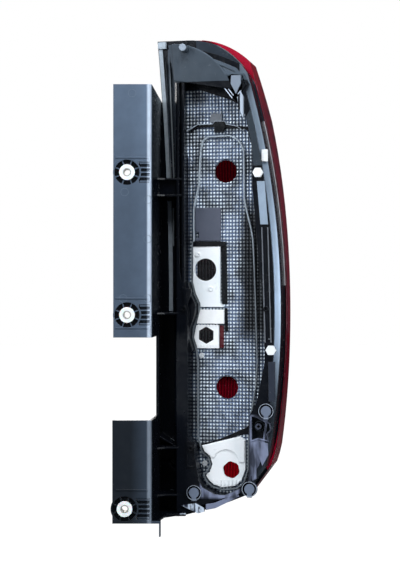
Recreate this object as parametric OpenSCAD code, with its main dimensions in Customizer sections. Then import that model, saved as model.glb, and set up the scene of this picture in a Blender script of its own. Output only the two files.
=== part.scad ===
// Tall rear lamp of a vehicle, seen from the side that faces the body.
// The origin is the upper fixing hole, on the plane where the fixing plates meet the body.
// +Z is up, -Y is the way the fixing screws leave, and the lens faces +Y.

/* [Fixing points] */
// Distance from the upper fixing bush down to the middle one
bush_gap_middle = 151.5; // [140:0.5:158]
// Distance from the upper fixing bush down to the lower one
bush_gap_lower = 357.5; // [350:0.5:360]
// How far the lower bush stands to the left of the other two
bush_lower_shift = 2.6; // [0:0.1:4]
// Radius of the screw hole in each metal sleeve
sleeve_hole_r = 3.3; // [2.6:0.1:3.6]
// Wall of a metal sleeve
sleeve_wall = 1; // [0.7:0.1:1.2]
// Length of a metal sleeve
sleeve_length = 12; // [10:0.5:16]
// Radius of the white head of a bush
bush_head_r = 8.3; // [7.8:0.1:9]
// Thickness of the white head of a bush
bush_head_t = 2; // [1.5:0.1:3]
// Wall of a bush below its head
bush_wall = 1.8; // [1.4:0.1:2]
// Radius of the ribbed recess round a bush
recess_r = 13.4; // [12.5:0.1:14]
// Depth of the ribbed recess
recess_depth = 4; // [3:0.5:6]
// Ribs across each recess
recess_ribs = 8; // [4:1:12]
// Height of the ribbed pocket between a recess and the bend
pocket_h = 22; // [18:0.5:24]
// Depth of that pocket
pocket_d = 3; // [2:0.5:4]

/* [Side arm] */
// Thickness of the fixing plates
plate_t = 2.5; // [2:0.1:3.5]
// Left edge of the upper plate, from the line of the bushes
plate_left = 14.6; // [14.2:0.1:18]
// Right edge of the plates, where they turn into the deep wall
plate_right = 26.6; // [25:0.1:28]
// Top edge of the upper plate above the upper bush
plate_top = 93.5; // [80:0.5:100]
// Lower edge of the upper plate below the middle bush
plate_tail = 24; // [18:0.5:28]
// Height of the gap between the two plates
plate_gap = 88; // [60:0.5:95]
// Lower edge of the lower plate below the lower bush
plate_foot = 15.5; // [14.5:0.5:17]
// Height of the turned lip along the left edge of the plates
lip_h = 5; // [3:0.5:8]
// Depth of the arm, from the fixing plane to the lamp rim
arm_depth = 95; // [85:0.5:105]
// Lean of the deep wall away from the plates, over its whole depth
arm_lean = 8; // [4:0.5:10]
// Thickness of the deep wall
arm_wall = 2.6; // [2:0.1:3.5]
// Outer radius of the bend between the plates and the deep wall
bend_r = 4; // [3.6:0.1:5]
// Depth at which the deep wall starts between the two plates
arm_cutback = 60; // [50:1:70]

/* [Lamp body] */
// Turn of the lamp against the fixing plane, in degrees
lamp_turn = 13; // [12:0.1:14]
// Radius of the long right edge of the outline
side_r = 952; // [940:1:960]
// Widest point of the right edge, from the left corner of the lamp
lamp_w = 143; // [141:0.5:145]
// Radius of the lower right edge
low_r = 383; // [360:1:400]
// Radius of the upper right corner
top_r = 89; // [87:0.5:91]
// Top of the lamp above the upper bush
lamp_top = 155.5; // [153:0.5:158]
// Radius of the foot edge
foot_r = 378; // [370:1:386]
// Radius of the long left edge, which is almost straight
left_r = 3300; // [3250:10:3350]
// Width of the rim that carries the lens
rim_w = 18; // [17:0.5:22]
// Thickness of the rim
rim_t = 3; // [2:0.1:4]
// Wall of the housing
body_wall = 2.5; // [2:0.1:3]
// Height of the deck behind the rim
deck_h = 33; // [30:0.5:36]
// Drop from the deck to the ledge along its right edge
ledge_drop = 6; // [3:0.5:9]
// Width of the ledge
ledge_w = 6; // [4:0.5:7]
// Depth of the well, from the deck to the reflector
well_depth = 24; // [22:0.5:26]

/* [Lens] */
// Wall of the lens
lens_t = 2.5; // [2:0.1:3.5]
// Depth of the lens in front of the rim
lens_depth = 60; // [54:0.5:64]
// Radius of the lens across its width
lens_r = 86; // [84:0.5:92]
// Radius of the lens along its height
lens_bow_r = 1050; // [950:5:1200]
// Width of the clear window, from the left corner of the lamp
clear_w = 70; // [60:0.5:80]
// Pitch of the flutes inside the lens
flute_pitch = 3.4; // [3:0.1:6]
// Depth of the flutes inside the lens
flute_depth = 0.6; // [0.4:0.1:1]

/* [Reflectors] */
// Thickness of the reflector sheets
sheet_t = 2; // [1.5:0.1:2.2]
// Pitch of the pattern on the main reflector
pillow_pitch = 3.8; // [3.4:0.1:5]
// Height of the pattern on the main reflector
pillow_h = 0.8; // [0.4:0.1:1]
// Radius of the bulb holes
bulb_r = 12.4; // [11.5:0.1:13]
// Radius of the lowest bulb hole, a hexagon with rounded corners
low_hole_r = 9.4; // [8.5:0.1:9.8]
// Width across the flats of the hexagonal bulb hole
hex_af = 16.8; // [15:0.1:18]
// Height of the smooth panels above the main reflector
panel_h = 6; // [4:0.5:8]
// Height of the gasket above the main reflector
gasket_h = 5; // [3:0.5:7]
// Thickness of the gasket
gasket_t = 1.4; // [1:0.1:1.8]

/* [Screws and pins] */
// Width across the flats of the white hexagonal heads
head_af = 10; // [9:0.1:11]
// Height of the white hexagonal heads
head_h = 4; // [3:0.5:6]
// Radius of the shank under a hexagonal head
shank_r = 2.5; // [2:0.1:3]
// Radius of the flat heads of the locating pins
pin_r = 5.6; // [5:0.1:6]
// Wall of the bosses
boss_wall = 1.5; // [1.2:0.1:2]
// Height of the boss under the round stud
stud_boss_h = 12; // [8:0.5:16]

/* [Hidden] */
$fn = 64;
// Width of the slope into the well, and the height where it begins
slope_w = 5.5;
slope_top = 66;
// Height over which the slope grows to its full width
slope_run = 45;
// Thickness of the ribs on the side arm
rib_t = 1.4;
// Running gap between parts that slide together
gap = 0.1;
// Gap round a part that drops in
loose = 0.3;
// Extra length of a cutting tool
cut = 1;
// Depths in the lamp's own frame, from the front of the rim: less is nearer the body
rim_y = -rim_t;
deck_y = rim_y - deck_h;
ledge_y = deck_y + ledge_drop;
sheet_y = deck_y + well_depth;
panel_y = sheet_y - panel_h;
// Corner of the lamp in the fixing frame
lamp_x = plate_right + arm_lean + 0.4;
// Fixing points
bush_points = [[0, 0], [0, -bush_gap_middle], [-bush_lower_shift, -bush_gap_lower]];
sleeve_r = sleeve_hole_r + sleeve_wall;
bush_bore_r = sleeve_r + gap;
bush_r = bush_bore_r + bush_wall;
boss_bore_r = bush_r + gap;
boss_r = boss_bore_r + boss_wall;
// The plates lie a little in front of the bush heads, so that only the bushes touch the body
plate_y = 0.8;
upper_end = -bush_gap_middle - plate_tail;
lower_start = upper_end - plate_gap;
lower_end = -bush_gap_lower - plate_foot;
// Centres of the outline's arcs
side_c = [lamp_w - side_r, -150];
low_c = [lamp_w - low_r, -205];
top_c = [38, lamp_top - top_r];
foot_c = [-60, -10];
left_c = [8 - left_r, -137];
// The upper right corner of the housing stands in from that of the lens
corner_shift = [-8, 0];
// Cutting tools reach from here over the whole lamp
low_z = -450;
tall = 1200;
// Ends of the crest along the left side of the well
crest_z = [-366, 136];
// Heights of the webs between the side arm and the deck
web_z = [-4, -22, -152, -300, -352];
web_t = 2;
// Right face of the crest, where the well begins
crest_x = 28;
// Left edge of the reflector sheet, where it tucks in under the crest
sheet_x = 20.4;
// Points across the lamp are set out for this width, and keep their share of the way from the crest
layout_w = 143;
function set_out(points) = [for (p = points)
    [p[0] < crest_x ? p[0] : crest_x + (p[0] - crest_x) * (lamp_w - crest_x) / (layout_w - crest_x), p[1]]];
// The well in the deck, clockwise from its upper left corner
well = set_out([[sheet_x, 103], [47, 104], [66, 100.5], [78, 97], [81, 107], [87, 110.5], [99, 109],
    [104, 99], [99, 88], [103, 63], [108, 38], [111.5, 21], [110, -10], [113, -44], [118, -100],
    [122, -140], [123.5, -177], [123.5, -205], [118, -232], [115, -247], [107, -262], [106, -332],
    [98, -343], [83, -350], [68, -349], [54, -342], [49.5, -333], [49.5, -328], [45.5, -306], [45.5, -296],
    [38, -288], [38, -150], [33, -124], [29, -105], [28, -50], [28, 60], [sheet_x, 60]]);
// The dark shelf at the head of the well
shelf = set_out([[sheet_x, 103.5], [47, 104.5], [66, 101], [78, 97.5], [81, 107.5], [87, 111], [99, 109.5],
    [104.5, 99], [99.5, 88], [100, 81], [87.4, 82], [80.6, 86], [63.5, 91.7], [46.4, 97.9],
    [sheet_x, 96.5]]);
// The line of the gasket, clockwise from its upper left corner
loop = set_out([[48, 30], [50.5, 40.5], [56.5, 45], [82, 45.4], [89.5, 41.3], [94.6, 34.5], [97, 27],
    [97.4, -24], [100, -37], [105, -57], [107.2, -70], [108.6, -98], [110, -136], [111.4, -186],
    [112.2, -205], [110.3, -230], [107.5, -248], [104.2, -268], [103.6, -283], [102, -296],
    [101.8, -323], [97, -338],
    [89, -344.5], [73, -346.5], [62, -343.5], [55.5, -338.5], [51.5, -331], [56.5, -325.5], [59.5, -318],
    [56.5, -310.5], [50, -306], [47.5, -297], [44.9, -288], [44.8, -208], [43.7, -194],
    [39.4, -178], [40, -168], [46, -152], [46.5, -141], [41.4, -130], [38.4, -117], [38, -100],
    [38.6, -76], [40.3, -70], [40.3, -34], [46, -8]]);
mid_panel = set_out([[40, -77], [70.5, -77], [70.5, -139], [74.5, -144], [48, -144], [48, -140], [43, -129],
    [40, -117]]);
blank_panel = set_out([[48, -147], [75, -147], [75, -162.5], [44, -162.5]]);
hex_panel = set_out([[43.6, -164.3], [69, -164.3], [69, -189.8], [45, -189.8], [41, -178]]);
low_panel = set_out([[50, -298], [93, -286.8], [99, -291], [99, -323], [94.4, -336], [87.6, -341.4],
    [73, -343.4], [63.5, -340.8], [58.5, -336.5], [54.5, -331], [59.3, -326.5], [62, -318], [59.3, -309.5],
    [52.7, -304.8]]);
divider = set_out([[36, 52.4], [43, 58.4], [62, 58.6], [62, 61], [75, 61], [75, 58.2], [100, 55.2],
    [105, 49.6], [105, 46.6], [99, 52.4], [73, 55], [73, 58.8], [64, 58.8], [64, 55.8], [44, 55.5],
    [36, 49]]);
// Opposite corners of the blank plate, the slot and the smooth patch
cover = set_out([[42, -70.5], [70.8, -34]]);
slot = set_out([[69.4, -189.8], [74.4, -164.5]]);
patch = set_out([[58.3, 61.5], [71.3, 72.9]]);
hole_upper = set_out([[76, 6.4]])[0];
hole_mid = set_out([[53.8, -102.7]])[0];
hole_hex = set_out([[54.7, -175.5]])[0];
hole_lower = set_out([[77.5, -233.4]])[0];
hole_low = set_out([[83.2, -324]])[0];
head_points = set_out([[117.2, 2.2], [131.5, -190.3]]);
pin_points = set_out([[92.2, 99], [125.8, -256.4], [45.7, -347.5], [107.5, -341.5]]);
screw_points = set_out([[48.8, -198], [52.5, -318]]);
small_bosses = set_out([[105.2, -19.4], [39.1, 16.5]]);
foam_at = set_out([[120, 14.8]])[0];
stud_at = set_out([[35.6, 139.3]])[0];
// Width, height and thickness of the foam pad
foam = [6.5, 13, 3];
// The grey tongue over the upper locating pin, and the leaf-shaped face beside it
tongue = set_out([[87.3, 108.5], [97.7, 108.5], [98, 99.5], [92.6, 88.5], [86.9, 99.5]]);
leaf = set_out([[97.8, 91], [94.2, 84.5], [95.5, 73.2], [100, 62.2], [102.8, 70.8], [101.6, 84]]);
// The cheek between the left wall of the well and the gasket
cheek = set_out([[32.5, -116], [37, -117], [40, -130.3], [45.1, -141.4], [44.6, -151.6], [38.7, -167.8],
    [38.1, -178.2], [41.8, -192], [37.5, -195], [37.5, -150]]);
// The frame round the small boss at the lower left
slot_boss = rect(set_out([[37, -320], [46, -292]]));
// The open pocket round the boss at the lower right
boss_pocket = set_out([[109.5, -262.5], [115.5, -264], [121, -267.2], [128.7, -270.4], [129.8, -276.9],
    [125.4, -281.3], [126.5, -287.8], [116.6, -285.9], [109.5, -288.3]]);
boss_pocket_d = 8;
pocket_boss = set_out([[117, -273.5]])[0];
// Ridges across the main reflector
pillows = floor(lamp_w / pillow_pitch) - 3;
ridges = concat([for (i = [0 : pillows])
        each [[i * pillow_pitch, 0], [(i + 0.5) * pillow_pitch, -pillow_h]]],
    [[(pillows + 1) * pillow_pitch, 0], [(pillows + 1) * pillow_pitch, 0.5], [0, 0.5]]);
pin_boss_r = pin_r + 2.8;
pin_shank_r = 2.6;
pin_hole_r = pin_shank_r + gap;
pin_tab_w = 5.2;
// Thickness of the dark shelf at the head of the well
shelf_t = 3;
// Length of the screw and pin holes in the deck
hole_len = 8;

function unit(v) = v / norm(v);
function normal(a, b) = let(u = unit(b - a)) [-u[1], u[0]];
// Moves every edge of a clockwise outline outwards by d
function grown(p, d) = [for (i = [0 : len(p) - 1])
    let(n = len(p), a = normal(p[(i + n - 1) % n], p[i]), b = normal(p[i], p[(i + 1) % n]))
    p[i] + d * (a + b) / (1 + a * b)];

module lamp() translate([lamp_x, arm_depth, 0]) rotate([0, 0, -lamp_turn]) children();
// Extrudes an outline in the X-Z plane between two depths
module slab(y0, y1) translate([0, y1, 0]) rotate([90, 0, 0]) linear_extrude(y1 - y0) children();
module spot(p, y) translate([p[0], y, p[1]]) rotate([-90, 0, 0]) children();
// A rectangle between two corners
function rect(c) = [[c[0][0], c[1][1]], c[1], [c[1][0], c[0][1]], c[0]];
module band(p, t) difference() {
    polygon(grown(p, t / 2));
    polygon(grown(p, -t / 2));
}
// A straight strip between two points
module strip(a, b, w) {
    n = normal(a, b) * w / 2;
    polygon([a + n, b + n, b - n, a - n]);
}

// The outline of the lamp, moved inwards; shift moves the upper right corner in from the lens
module outline(inset = 0, shift = [0, 0]) difference() {
    intersection() {
        translate(side_c) circle(r = side_r - inset, $fn = 256);
        union() {
            translate(low_c) circle(r = low_r - inset, $fn = 256);
            translate([-50, -200]) square([300, 400]);
        }
        union() {
            translate(top_c + shift) circle(r = top_r - inset, $fn = 128);
            translate([-50, low_z]) square([300, top_c[1] + shift[1] - low_z]);
            translate([-50, 0]) square([50 + top_c[0] + shift[0], lamp_top + shift[1] - inset]);
        }
        union() {
            translate(foot_c) circle(r = foot_r - inset, $fn = 256);
            translate([-50, -300]) square([300, 500]);
        }
        // The cut corner at the lower right
        translate([lamp_w - 16, -317.6]) rotate(-36.2)
            translate([low_z - inset, low_z]) square([-low_z, tall]);
        translate([-5.5 + inset, low_z]) square([300, tall]);
    }
    translate(left_c) circle(r = left_r + inset, $fn = 256);
}
// The deck, inside the rim, with the softer arc along its top
module deck_outline(inset = 0) intersection() {
    outline(body_wall + inset, corner_shift);
    union() {
        translate([0.6, -62.4]) circle(r = 207.5 - inset, $fn = 256);
        translate([-50, low_z]) square([300, -20 - low_z]);
    }
    translate([crest_x - 2.5 + inset, low_z]) square([200, tall]);
}

module bush_boss(p) difference() {
    union() {
        spot(p, bush_head_t) cylinder(r = boss_r, h = sleeve_length - bush_head_t);
        spot(p, plate_y) difference() {
            cylinder(r = recess_r + boss_wall, h = recess_depth + boss_wall);
            translate([0, 0, -cut]) cylinder(r = recess_r, h = recess_depth + cut);
        }
        for (i = [0 : recess_ribs - 1])
            spot(p, bush_head_t) rotate((i + 0.5) * 360 / recess_ribs)
                translate([boss_r - boss_wall / 2, -0.6, 0])
                    cube([recess_r - boss_r + boss_wall, 1.2, recess_depth]);
    }
    spot(p, 0) translate([0, 0, -cut]) cylinder(r = boss_bore_r, h = sleeve_length + 2 * cut);
}
module arm_plate(left, z0, z1) {
    translate([-left, plate_y, z0]) cube([left + plate_right - bend_r, plate_t, z1 - z0]);
    translate([-left, plate_y, z0]) cube([plate_t, lip_h, z1 - z0]);
    // The round bend towards the deep wall
    translate([plate_right - bend_r, plate_y + bend_r, z0]) linear_extrude(z1 - z0) intersection() {
        difference() {
            circle(r = bend_r);
            circle(r = bend_r - plate_t);
        }
        translate([-0.01, -bend_r]) square([bend_r, bend_r + 0.2]);
    }
}
// The ribbed pocket from a recess to the bend, cut into the plate and closed behind it
module bend_pocket(p, grow) {
    start = p[0] + recess_r - cut;
    front = grow > 0 ? 0 : cut;
    translate([start, plate_y - front, p[1] - pocket_h / 2 - grow])
        cube([plate_right - arm_wall - start + grow, pocket_d + front + grow, pocket_h + 2 * grow]);
}
module bend_ribs(p) for (dz = [-2 : 2])
    translate([p[0] + recess_r, plate_y, p[1] + dz * pocket_h / 4.6 - rib_t / 2])
        cube([plate_right - 1 - p[0] - recess_r, pocket_d + 0.5, rib_t]);
module deep_wall() difference() {
    translate([0, 0, lower_end]) linear_extrude(plate_top - lower_end)
        polygon([[plate_right - arm_wall, plate_y + bend_r], [plate_right, plate_y + bend_r],
            [plate_right + arm_lean, arm_depth - 2], [plate_right + arm_lean - arm_wall, arm_depth - 2]]);
    translate([0, -cut, lower_start]) cube([60, arm_cutback + cut, plate_gap]);
    // The top runs down towards the rim
    translate([0, plate_y, plate_top]) rotate([-4.3, 0, 0]) cube([60, arm_depth + 20, 20]);
}
module arm() {
    difference() {
        union() {
            arm_plate(plate_left, upper_end, plate_top);
            arm_plate(plate_left + 1, lower_end, lower_start);
        }
        for (p = bush_points) {
            spot(p, -cut) cylinder(r = recess_r, h = plate_t + 2 * cut + plate_y);
            bend_pocket(p, 0);
        }
    }
    for (p = bush_points) {
        bush_boss(p);
        bend_ribs(p);
        difference() {
            bend_pocket(p, boss_wall);
            bend_pocket(p, 0);
        }
    }
    deep_wall();
    // Raised lines across the plates
    for (z = [14.8, upper_end + 41, upper_end + 9.5, -bush_gap_lower + 19.5])
        translate([-plate_left + plate_t, plate_y - 0.8, z]) cube([plate_right + plate_left - 7, 1.6, 1.4]);
    // Lip and hook along the foot
    translate([-plate_left - 1, plate_y, lower_end]) cube([plate_right + plate_left + 1, lip_h, plate_t]);
    translate([plate_right - 3, plate_y, lower_end]) cube([12, 10, plate_t]);
    translate([plate_right + 7.4, plate_y, lower_end - 14]) cube([1.6, 10, 15]);
}
// Webs that tie the deep wall to the deck
module webs() {
    for (z = web_z) translate([0, 0, z]) linear_extrude(web_t) polygon([
        [plate_right + 3.5, arm_cutback - 12], [plate_right + 12, arm_depth - 42], [59, arm_depth - 41],
        [53, arm_depth - 10], [plate_right + arm_lean - 1, arm_depth - 4]]);
    lamp() slab(deck_y + 4, deck_y + 6) polygon([[-1, -2], [26, -2], [26, -21], [-1, -21]]);
    // The floor at the foot, between the arm and the deck
    translate([0, 0, lower_end]) linear_extrude(plate_t) polygon([
        [plate_right - 1, plate_y], [plate_right + 4, plate_y], [plate_right + 14, arm_depth - 50],
        [62, arm_depth - 48], [62, arm_depth - 16], [plate_right + arm_lean - 1, arm_depth - 4]]);
}

// The left side of the housing: a wall in steps from the rim up to the crest, and the slope into the well
module crest() {
    translate([0, 0, crest_z[0]]) linear_extrude(crest_z[1] - crest_z[0]) polygon([
        [17, rim_y + 1], [17, rim_y - 3], [18, rim_y - 9], [18, rim_y - 13], [20.5, rim_y - 17],
        [20.5, rim_y - 21], [23, rim_y - 25], [23, rim_y - 29], [crest_x - 2.5, deck_y], [crest_x, deck_y],
        [crest_x, deck_y + 2.5], [crest_x - 1.5, deck_y + 5], [19.2, sheet_y], [19.2, rim_y + 1]]);
    difference() {
        translate([0, 0, crest_z[0]]) linear_extrude(slope_top - crest_z[0]) polygon([
            [crest_x - 2, deck_y + 1], [crest_x, deck_y], [crest_x + slope_w, sheet_y - 1],
            [crest_x + slope_w, sheet_y], [19.2, sheet_y], [crest_x - 2.2, deck_y + 5]]);
        slab(deck_y - cut, sheet_y + cut) polygon([[crest_x, slope_top + cut],
            [crest_x + 2 * slope_w, slope_top + cut], [crest_x + 2 * slope_w, slope_top - slope_run],
            [crest_x + slope_w, slope_top - slope_run], [crest_x, slope_top]]);
    }
    // Thin ribs on the rim, and a strut on the slope
    slab(rim_y - 5, rim_y + 1) {
        translate([13.8, -76]) square([1.8, 43]);
        for (i = [0, 1]) strip([6 + 4 * i, 131], [11.7 + 3.6 * i, 0.5], rib_t);
    }
    // The top plate reaches out to the left over the crest
    slab(deck_y, deck_y + body_wall) polygon([[16, 145], [crest_x, 145], [crest_x, 103.6], [23, 103.6]]);
    slab(deck_y + 1, rim_y + 1) strip([17.4, 144.6], [23.9, 107], body_wall);
    slab(sheet_y - 12, sheet_y - 1) strip([27.5, -52], [31, -70.5], 1.6);
}
module rail(points, h) slab(deck_y - h, deck_y + 1) polygon(points);
module ring(p, y, r, hole, h) spot(p, y - h) difference() {
    cylinder(r = r, h = h + 1);
    translate([0, 0, -cut]) cylinder(r = hole, h = h + cut);
}
module deck_fittings() {
    // Long strips beside the well
    rail(set_out([[103.5, 62.5], [108, 71], [113, 54], [117.5, 29], [121, 10], [112, 10], [109, 38]]), 1.6);
    rail(set_out([[115.5, -7], [124, -7], [127.8, -54], [119.5, -54]]), 1.6);
    rail(set_out([[128, -203], [135.5, -203], [135.5, -246], [128.5, -246]]), 1.2);
    for (x = [121, 127.5]) {
        line = set_out([[x, -57], [x + 3.6, -182]]);
        slab(deck_y - 1.5, deck_y + 1) strip(line[0], line[1], 1.2);
    }
    // Seats of the hexagonal heads, the locating pins and the small bosses
    for (p = head_points) ring(p, deck_y, shank_r + gap + 2.6, shank_r + gap, 2);
    for (p = [pin_points[1], pin_points[2], pin_points[3]]) {
        // The ring is open below, for the tab of the pin
        difference() {
            ring(p, deck_y, pin_boss_r, pin_boss_r - boss_wall, 3);
            translate([p[0] - pin_tab_w / 2 - loose, deck_y - 4, p[1] - pin_boss_r - cut])
                cube([pin_tab_w + 2 * loose, 4, pin_boss_r]);
        }
        ring(p, deck_y, pin_hole_r + boss_wall, pin_hole_r, 1);
    }
    ring(pin_points[0], sheet_y - shelf_t, pin_hole_r + boss_wall, pin_hole_r, sheet_y - 2 - deck_y);
    ring(stud_at, deck_y, pin_hole_r + boss_wall, pin_hole_r, stud_boss_h);
    for (p = set_out([[125.6, -145.8], [34.2, -146], [42, -299.5]])) ring(p, deck_y, 3, 1.5, 2.5);
    slab(deck_y - 1.2, deck_y + 1) difference() {
        polygon(slot_boss);
        polygon(grown(slot_boss, -1.2));
    }
    // Facets and the bar at the foot
    rail(set_out([[118, -290], [127.5, -291], [128, -304], [121.5, -316], [116.5, -303]]), 1.4);
    rail(set_out([[109.5, -291], [114, -291], [115, -330], [109.8, -333]]), 0.8);
    rail(set_out([[31, -362], [50, -370], [57, -368], [57, -364], [47, -359]]), 2.2);
    rail(set_out([[59, -366], [70, -363.5], [96, -350], [94, -347], [68, -358], [59, -359.5]]), 2.2);
    // The leaf-shaped face leans towards the well
    intersection() {
        rail(leaf, 5);
        translate([leaf[3][0], deck_y - 1, leaf[3][1]]) rotate([0, 0, 24])
            translate([-30, 0, -10]) cube([60, 20, 60]);
    }
    // Thin brackets round the tongue
    for (p = [[[78.7, 96.3], [88.2, 84]], [[81.5, 97.5], [89.5, 87]]])
        slab(deck_y - 0.5, sheet_y - 2) strip(set_out(p)[0], set_out(p)[1], 1);
    slab(deck_y - 1.5, sheet_y - 2) strip(set_out([[94.5, 88]])[0], set_out([[103.7, 98.5]])[0], 1.2);
    // A thin plate beside the gasket, and a stop on the right rail
    rail(set_out([[31.5, -122], [42.4, -124], [42.4, -128], [38.4, -141], [34.5, -141]]), 1.2);
    slab(deck_y - 2, deck_y + 1) translate(set_out([[128.2, -178.8]])[0]) square([3.2, 1.2]);
}
// Low ribs from the deep wall to the crest, near the foot
module foot_ribs() {
    slab(rim_y - 24, rim_y + 1) strip([-1, -286], [23, -299], 1.6);
    slab(rim_y - 18, rim_y + 1) {
        strip([-1, -319], [12, -318], 1.6);
        strip([12, -318], [20, -326], 1.6);
    }
}
// The pocket wall and its boss
module lower_pocket() {
    slab(deck_y - 1, deck_y + boss_pocket_d + boss_wall) difference() {
        polygon(grown(boss_pocket, boss_wall));
        polygon(boss_pocket);
    }
    slab(deck_y + boss_pocket_d, deck_y + boss_pocket_d + boss_wall) polygon(grown(boss_pocket, boss_wall));
    ring(pocket_boss, deck_y + boss_pocket_d, 3.4, 1.6, boss_pocket_d);
    ring(pocket_boss, deck_y + boss_pocket_d, 5.6, 4.8, 3);
}
module raised_top() slab(deck_y - 0.8, deck_y + 1) intersection() {
    deck_outline(ledge_w + 1);
    translate([20, 75]) circle(r = 69.5, $fn = 128);
    translate([26, 112]) square([100, 60]);
}
// The groove between the top plate and its shoulder
module top_groove() slab(deck_y - cut, deck_y + 1.2) intersection() {
    difference() {
        deck_outline(ledge_w + 4);
        deck_outline(ledge_w + 5.4);
    }
    translate([48, 112]) square([100, 60]);
}
module housing_lamp() {
    slab(rim_y, 0) difference() {
        union() {
            outline(0, corner_shift);
            translate([-1.5, lower_end]) square([14, 86 - lower_end]);
        }
        outline(rim_w, corner_shift);
    }
    // Side wall, ledge and deck
    slab(ledge_y, rim_y + 1) difference() {
        deck_outline(0);
        deck_outline(body_wall);
        translate([0, low_z]) square([30, 120 - low_z]);
    }
    slab(ledge_y, ledge_y + body_wall) difference() {
        deck_outline(0);
        deck_outline(ledge_w + body_wall);
    }
    slab(deck_y, ledge_y + body_wall) difference() {
        deck_outline(ledge_w);
        deck_outline(ledge_w + body_wall);
    }
    slab(deck_y, deck_y + body_wall) difference() {
        union() {
            deck_outline(ledge_w);
            translate([crest_x - 2.5, crest_z[0] - 4]) square([20, 400]);
        }
        polygon(well);
        polygon(boss_pocket);
    }
    // The wall of the well; the crest takes its place along the left
    slab(deck_y, sheet_y) difference() {
        polygon(grown(well, body_wall));
        polygon(well);
        translate([0, low_z]) square([crest_x + 1, 100 - low_z]);
        translate([0, low_z]) square([24.5, tall]);
    }
    slab(sheet_y - shelf_t, sheet_y) polygon(shelf);
    slab(deck_y + 6, sheet_y - 1) polygon(cheek);
    crest();
    deck_fittings();
    foot_ribs();
    lower_pocket();
    raised_top();
}
module housing() color("#22262c") difference() {
    union() {
        arm();
        webs();
        lamp() housing_lamp();
    }
    for (p = head_points) lamp() spot(p, deck_y - cut) cylinder(r = shank_r + gap, h = hole_len);
    for (p = concat(pin_points, [stud_at]))
        lamp() spot(p, deck_y - cut) cylinder(r = pin_hole_r, h = hole_len);
    lamp() top_groove();
}

// The outer or inner form of the lens
module lens_form(t) intersection() {
    slab(-cut * sign(t), lens_depth - t) outline(t);
    translate([lamp_w / 2, lens_depth - lens_r, low_z]) cylinder(r = lens_r - t, h = tall, $fn = 256);
    translate([-40, lens_depth - lens_bow_r, -100]) rotate([0, 90, 0])
        cylinder(r = lens_bow_r - t, h = 240, $fn = 512);
}
// Depth of the lens wall's inner face across its width
function inner_face(x) = lens_depth - lens_r + sqrt(pow(lens_r - lens_t, 2) - pow(x - lamp_w / 2, 2));
module lens_shell() difference() {
    lens_form(0);
    difference() {
        lens_form(lens_t);
        for (x = [flute_pitch * 2 : flute_pitch : lamp_w - flute_pitch * 2])
            translate([x, inner_face(x), low_z]) cylinder(r = flute_depth, h = tall, $fn = 24);
    }
}
module clear_zone() translate([-20, -cut, -196]) cube([20 + clear_w, lens_depth + 2 * cut, 130]);
module lens_red() color("#a00f1e") lamp() difference() {
    lens_shell();
    clear_zone();
}
module lens_clear() color("#d8dde0") lamp() intersection() {
    lens_shell();
    clear_zone();
}
// The grey seal along the left edge of the rim, broken where the web of the upper bush crosses it
module rim_seal() color("#b9c2c8") lamp() {
    slab(rim_y - 2, rim_y) intersection() {
        translate(left_c) difference() {
            circle(r = left_r + 5.4, $fn = 256);
            circle(r = left_r + 1, $fn = 256);
        }
        union() {
            translate([-20, 0.5]) square([60, lamp_top - 3]);
            translate([-20, -149]) square([60, 124]);
        }
    }
    // The thick end at the top
    slab(rim_y - 4, rim_y) translate([-3.5, lamp_top - 9]) square([9, 7.5]);
}

module main_reflector() color("#b4bcc4") lamp() difference() {
    union() {
        slab(sheet_y, sheet_y + sheet_t) intersection() {
            difference() {
                polygon(grown(well, body_wall + 0.4));
                translate([0, 50]) square([sheet_x, 80]);
            }
            outline(2 * body_wall + loose, corner_shift);
        }
        intersection() {
            slab(sheet_y - pillow_h, sheet_y + 0.5) difference() {
                polygon(grown(well, -loose));
                band(loop, gasket_t + 2 * loose);
                polygon(grown([[sheet_x - 10, slope_top], [crest_x, slope_top],
                    [crest_x + slope_w, slope_top - slope_run], [crest_x + slope_w, low_z],
                    [sheet_x - 10, low_z]], loose));
                polygon(grown(shelf, loose));
                polygon(grown(mid_panel, loose));
                polygon(grown(blank_panel, loose));
                polygon(grown(low_panel, loose));
                translate([hex_panel[4][0] - 2, slot[0][1] - loose])
                    square([slot[1][0] - hex_panel[4][0] + 2 + loose, slot[1][1] - slot[0][1] + 1.2]);
                translate(cover[0] - [loose, loose]) square(cover[1] - cover[0] + 2 * [loose, loose]);
                polygon(grown(divider, loose));
                polygon(grown(rect(patch), loose));
            }
            translate([0, sheet_y, low_z]) linear_extrude(tall) polygon(ridges);
        }
        slab(sheet_y - 1, sheet_y + 0.5) polygon(rect(patch));
        for (p = small_bosses) ring(p, sheet_y + 0.5, 2.8, 1.3, 2);
    }
    for (p = [hole_upper, hole_lower]) spot(p, sheet_y - cut) cylinder(r = bulb_r, h = 2 * cut + sheet_t);
    slab(sheet_y - cut, sheet_y + sheet_t + cut) {
        polygon(grown(mid_panel, -3));
        polygon(grown(hex_panel, -3));
        polygon(grown(low_panel, -3));
    }
    for (p = screw_points) spot(p, sheet_y - cut) cylinder(r = 1.6, h = 2 * cut + sheet_t);
}
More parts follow.
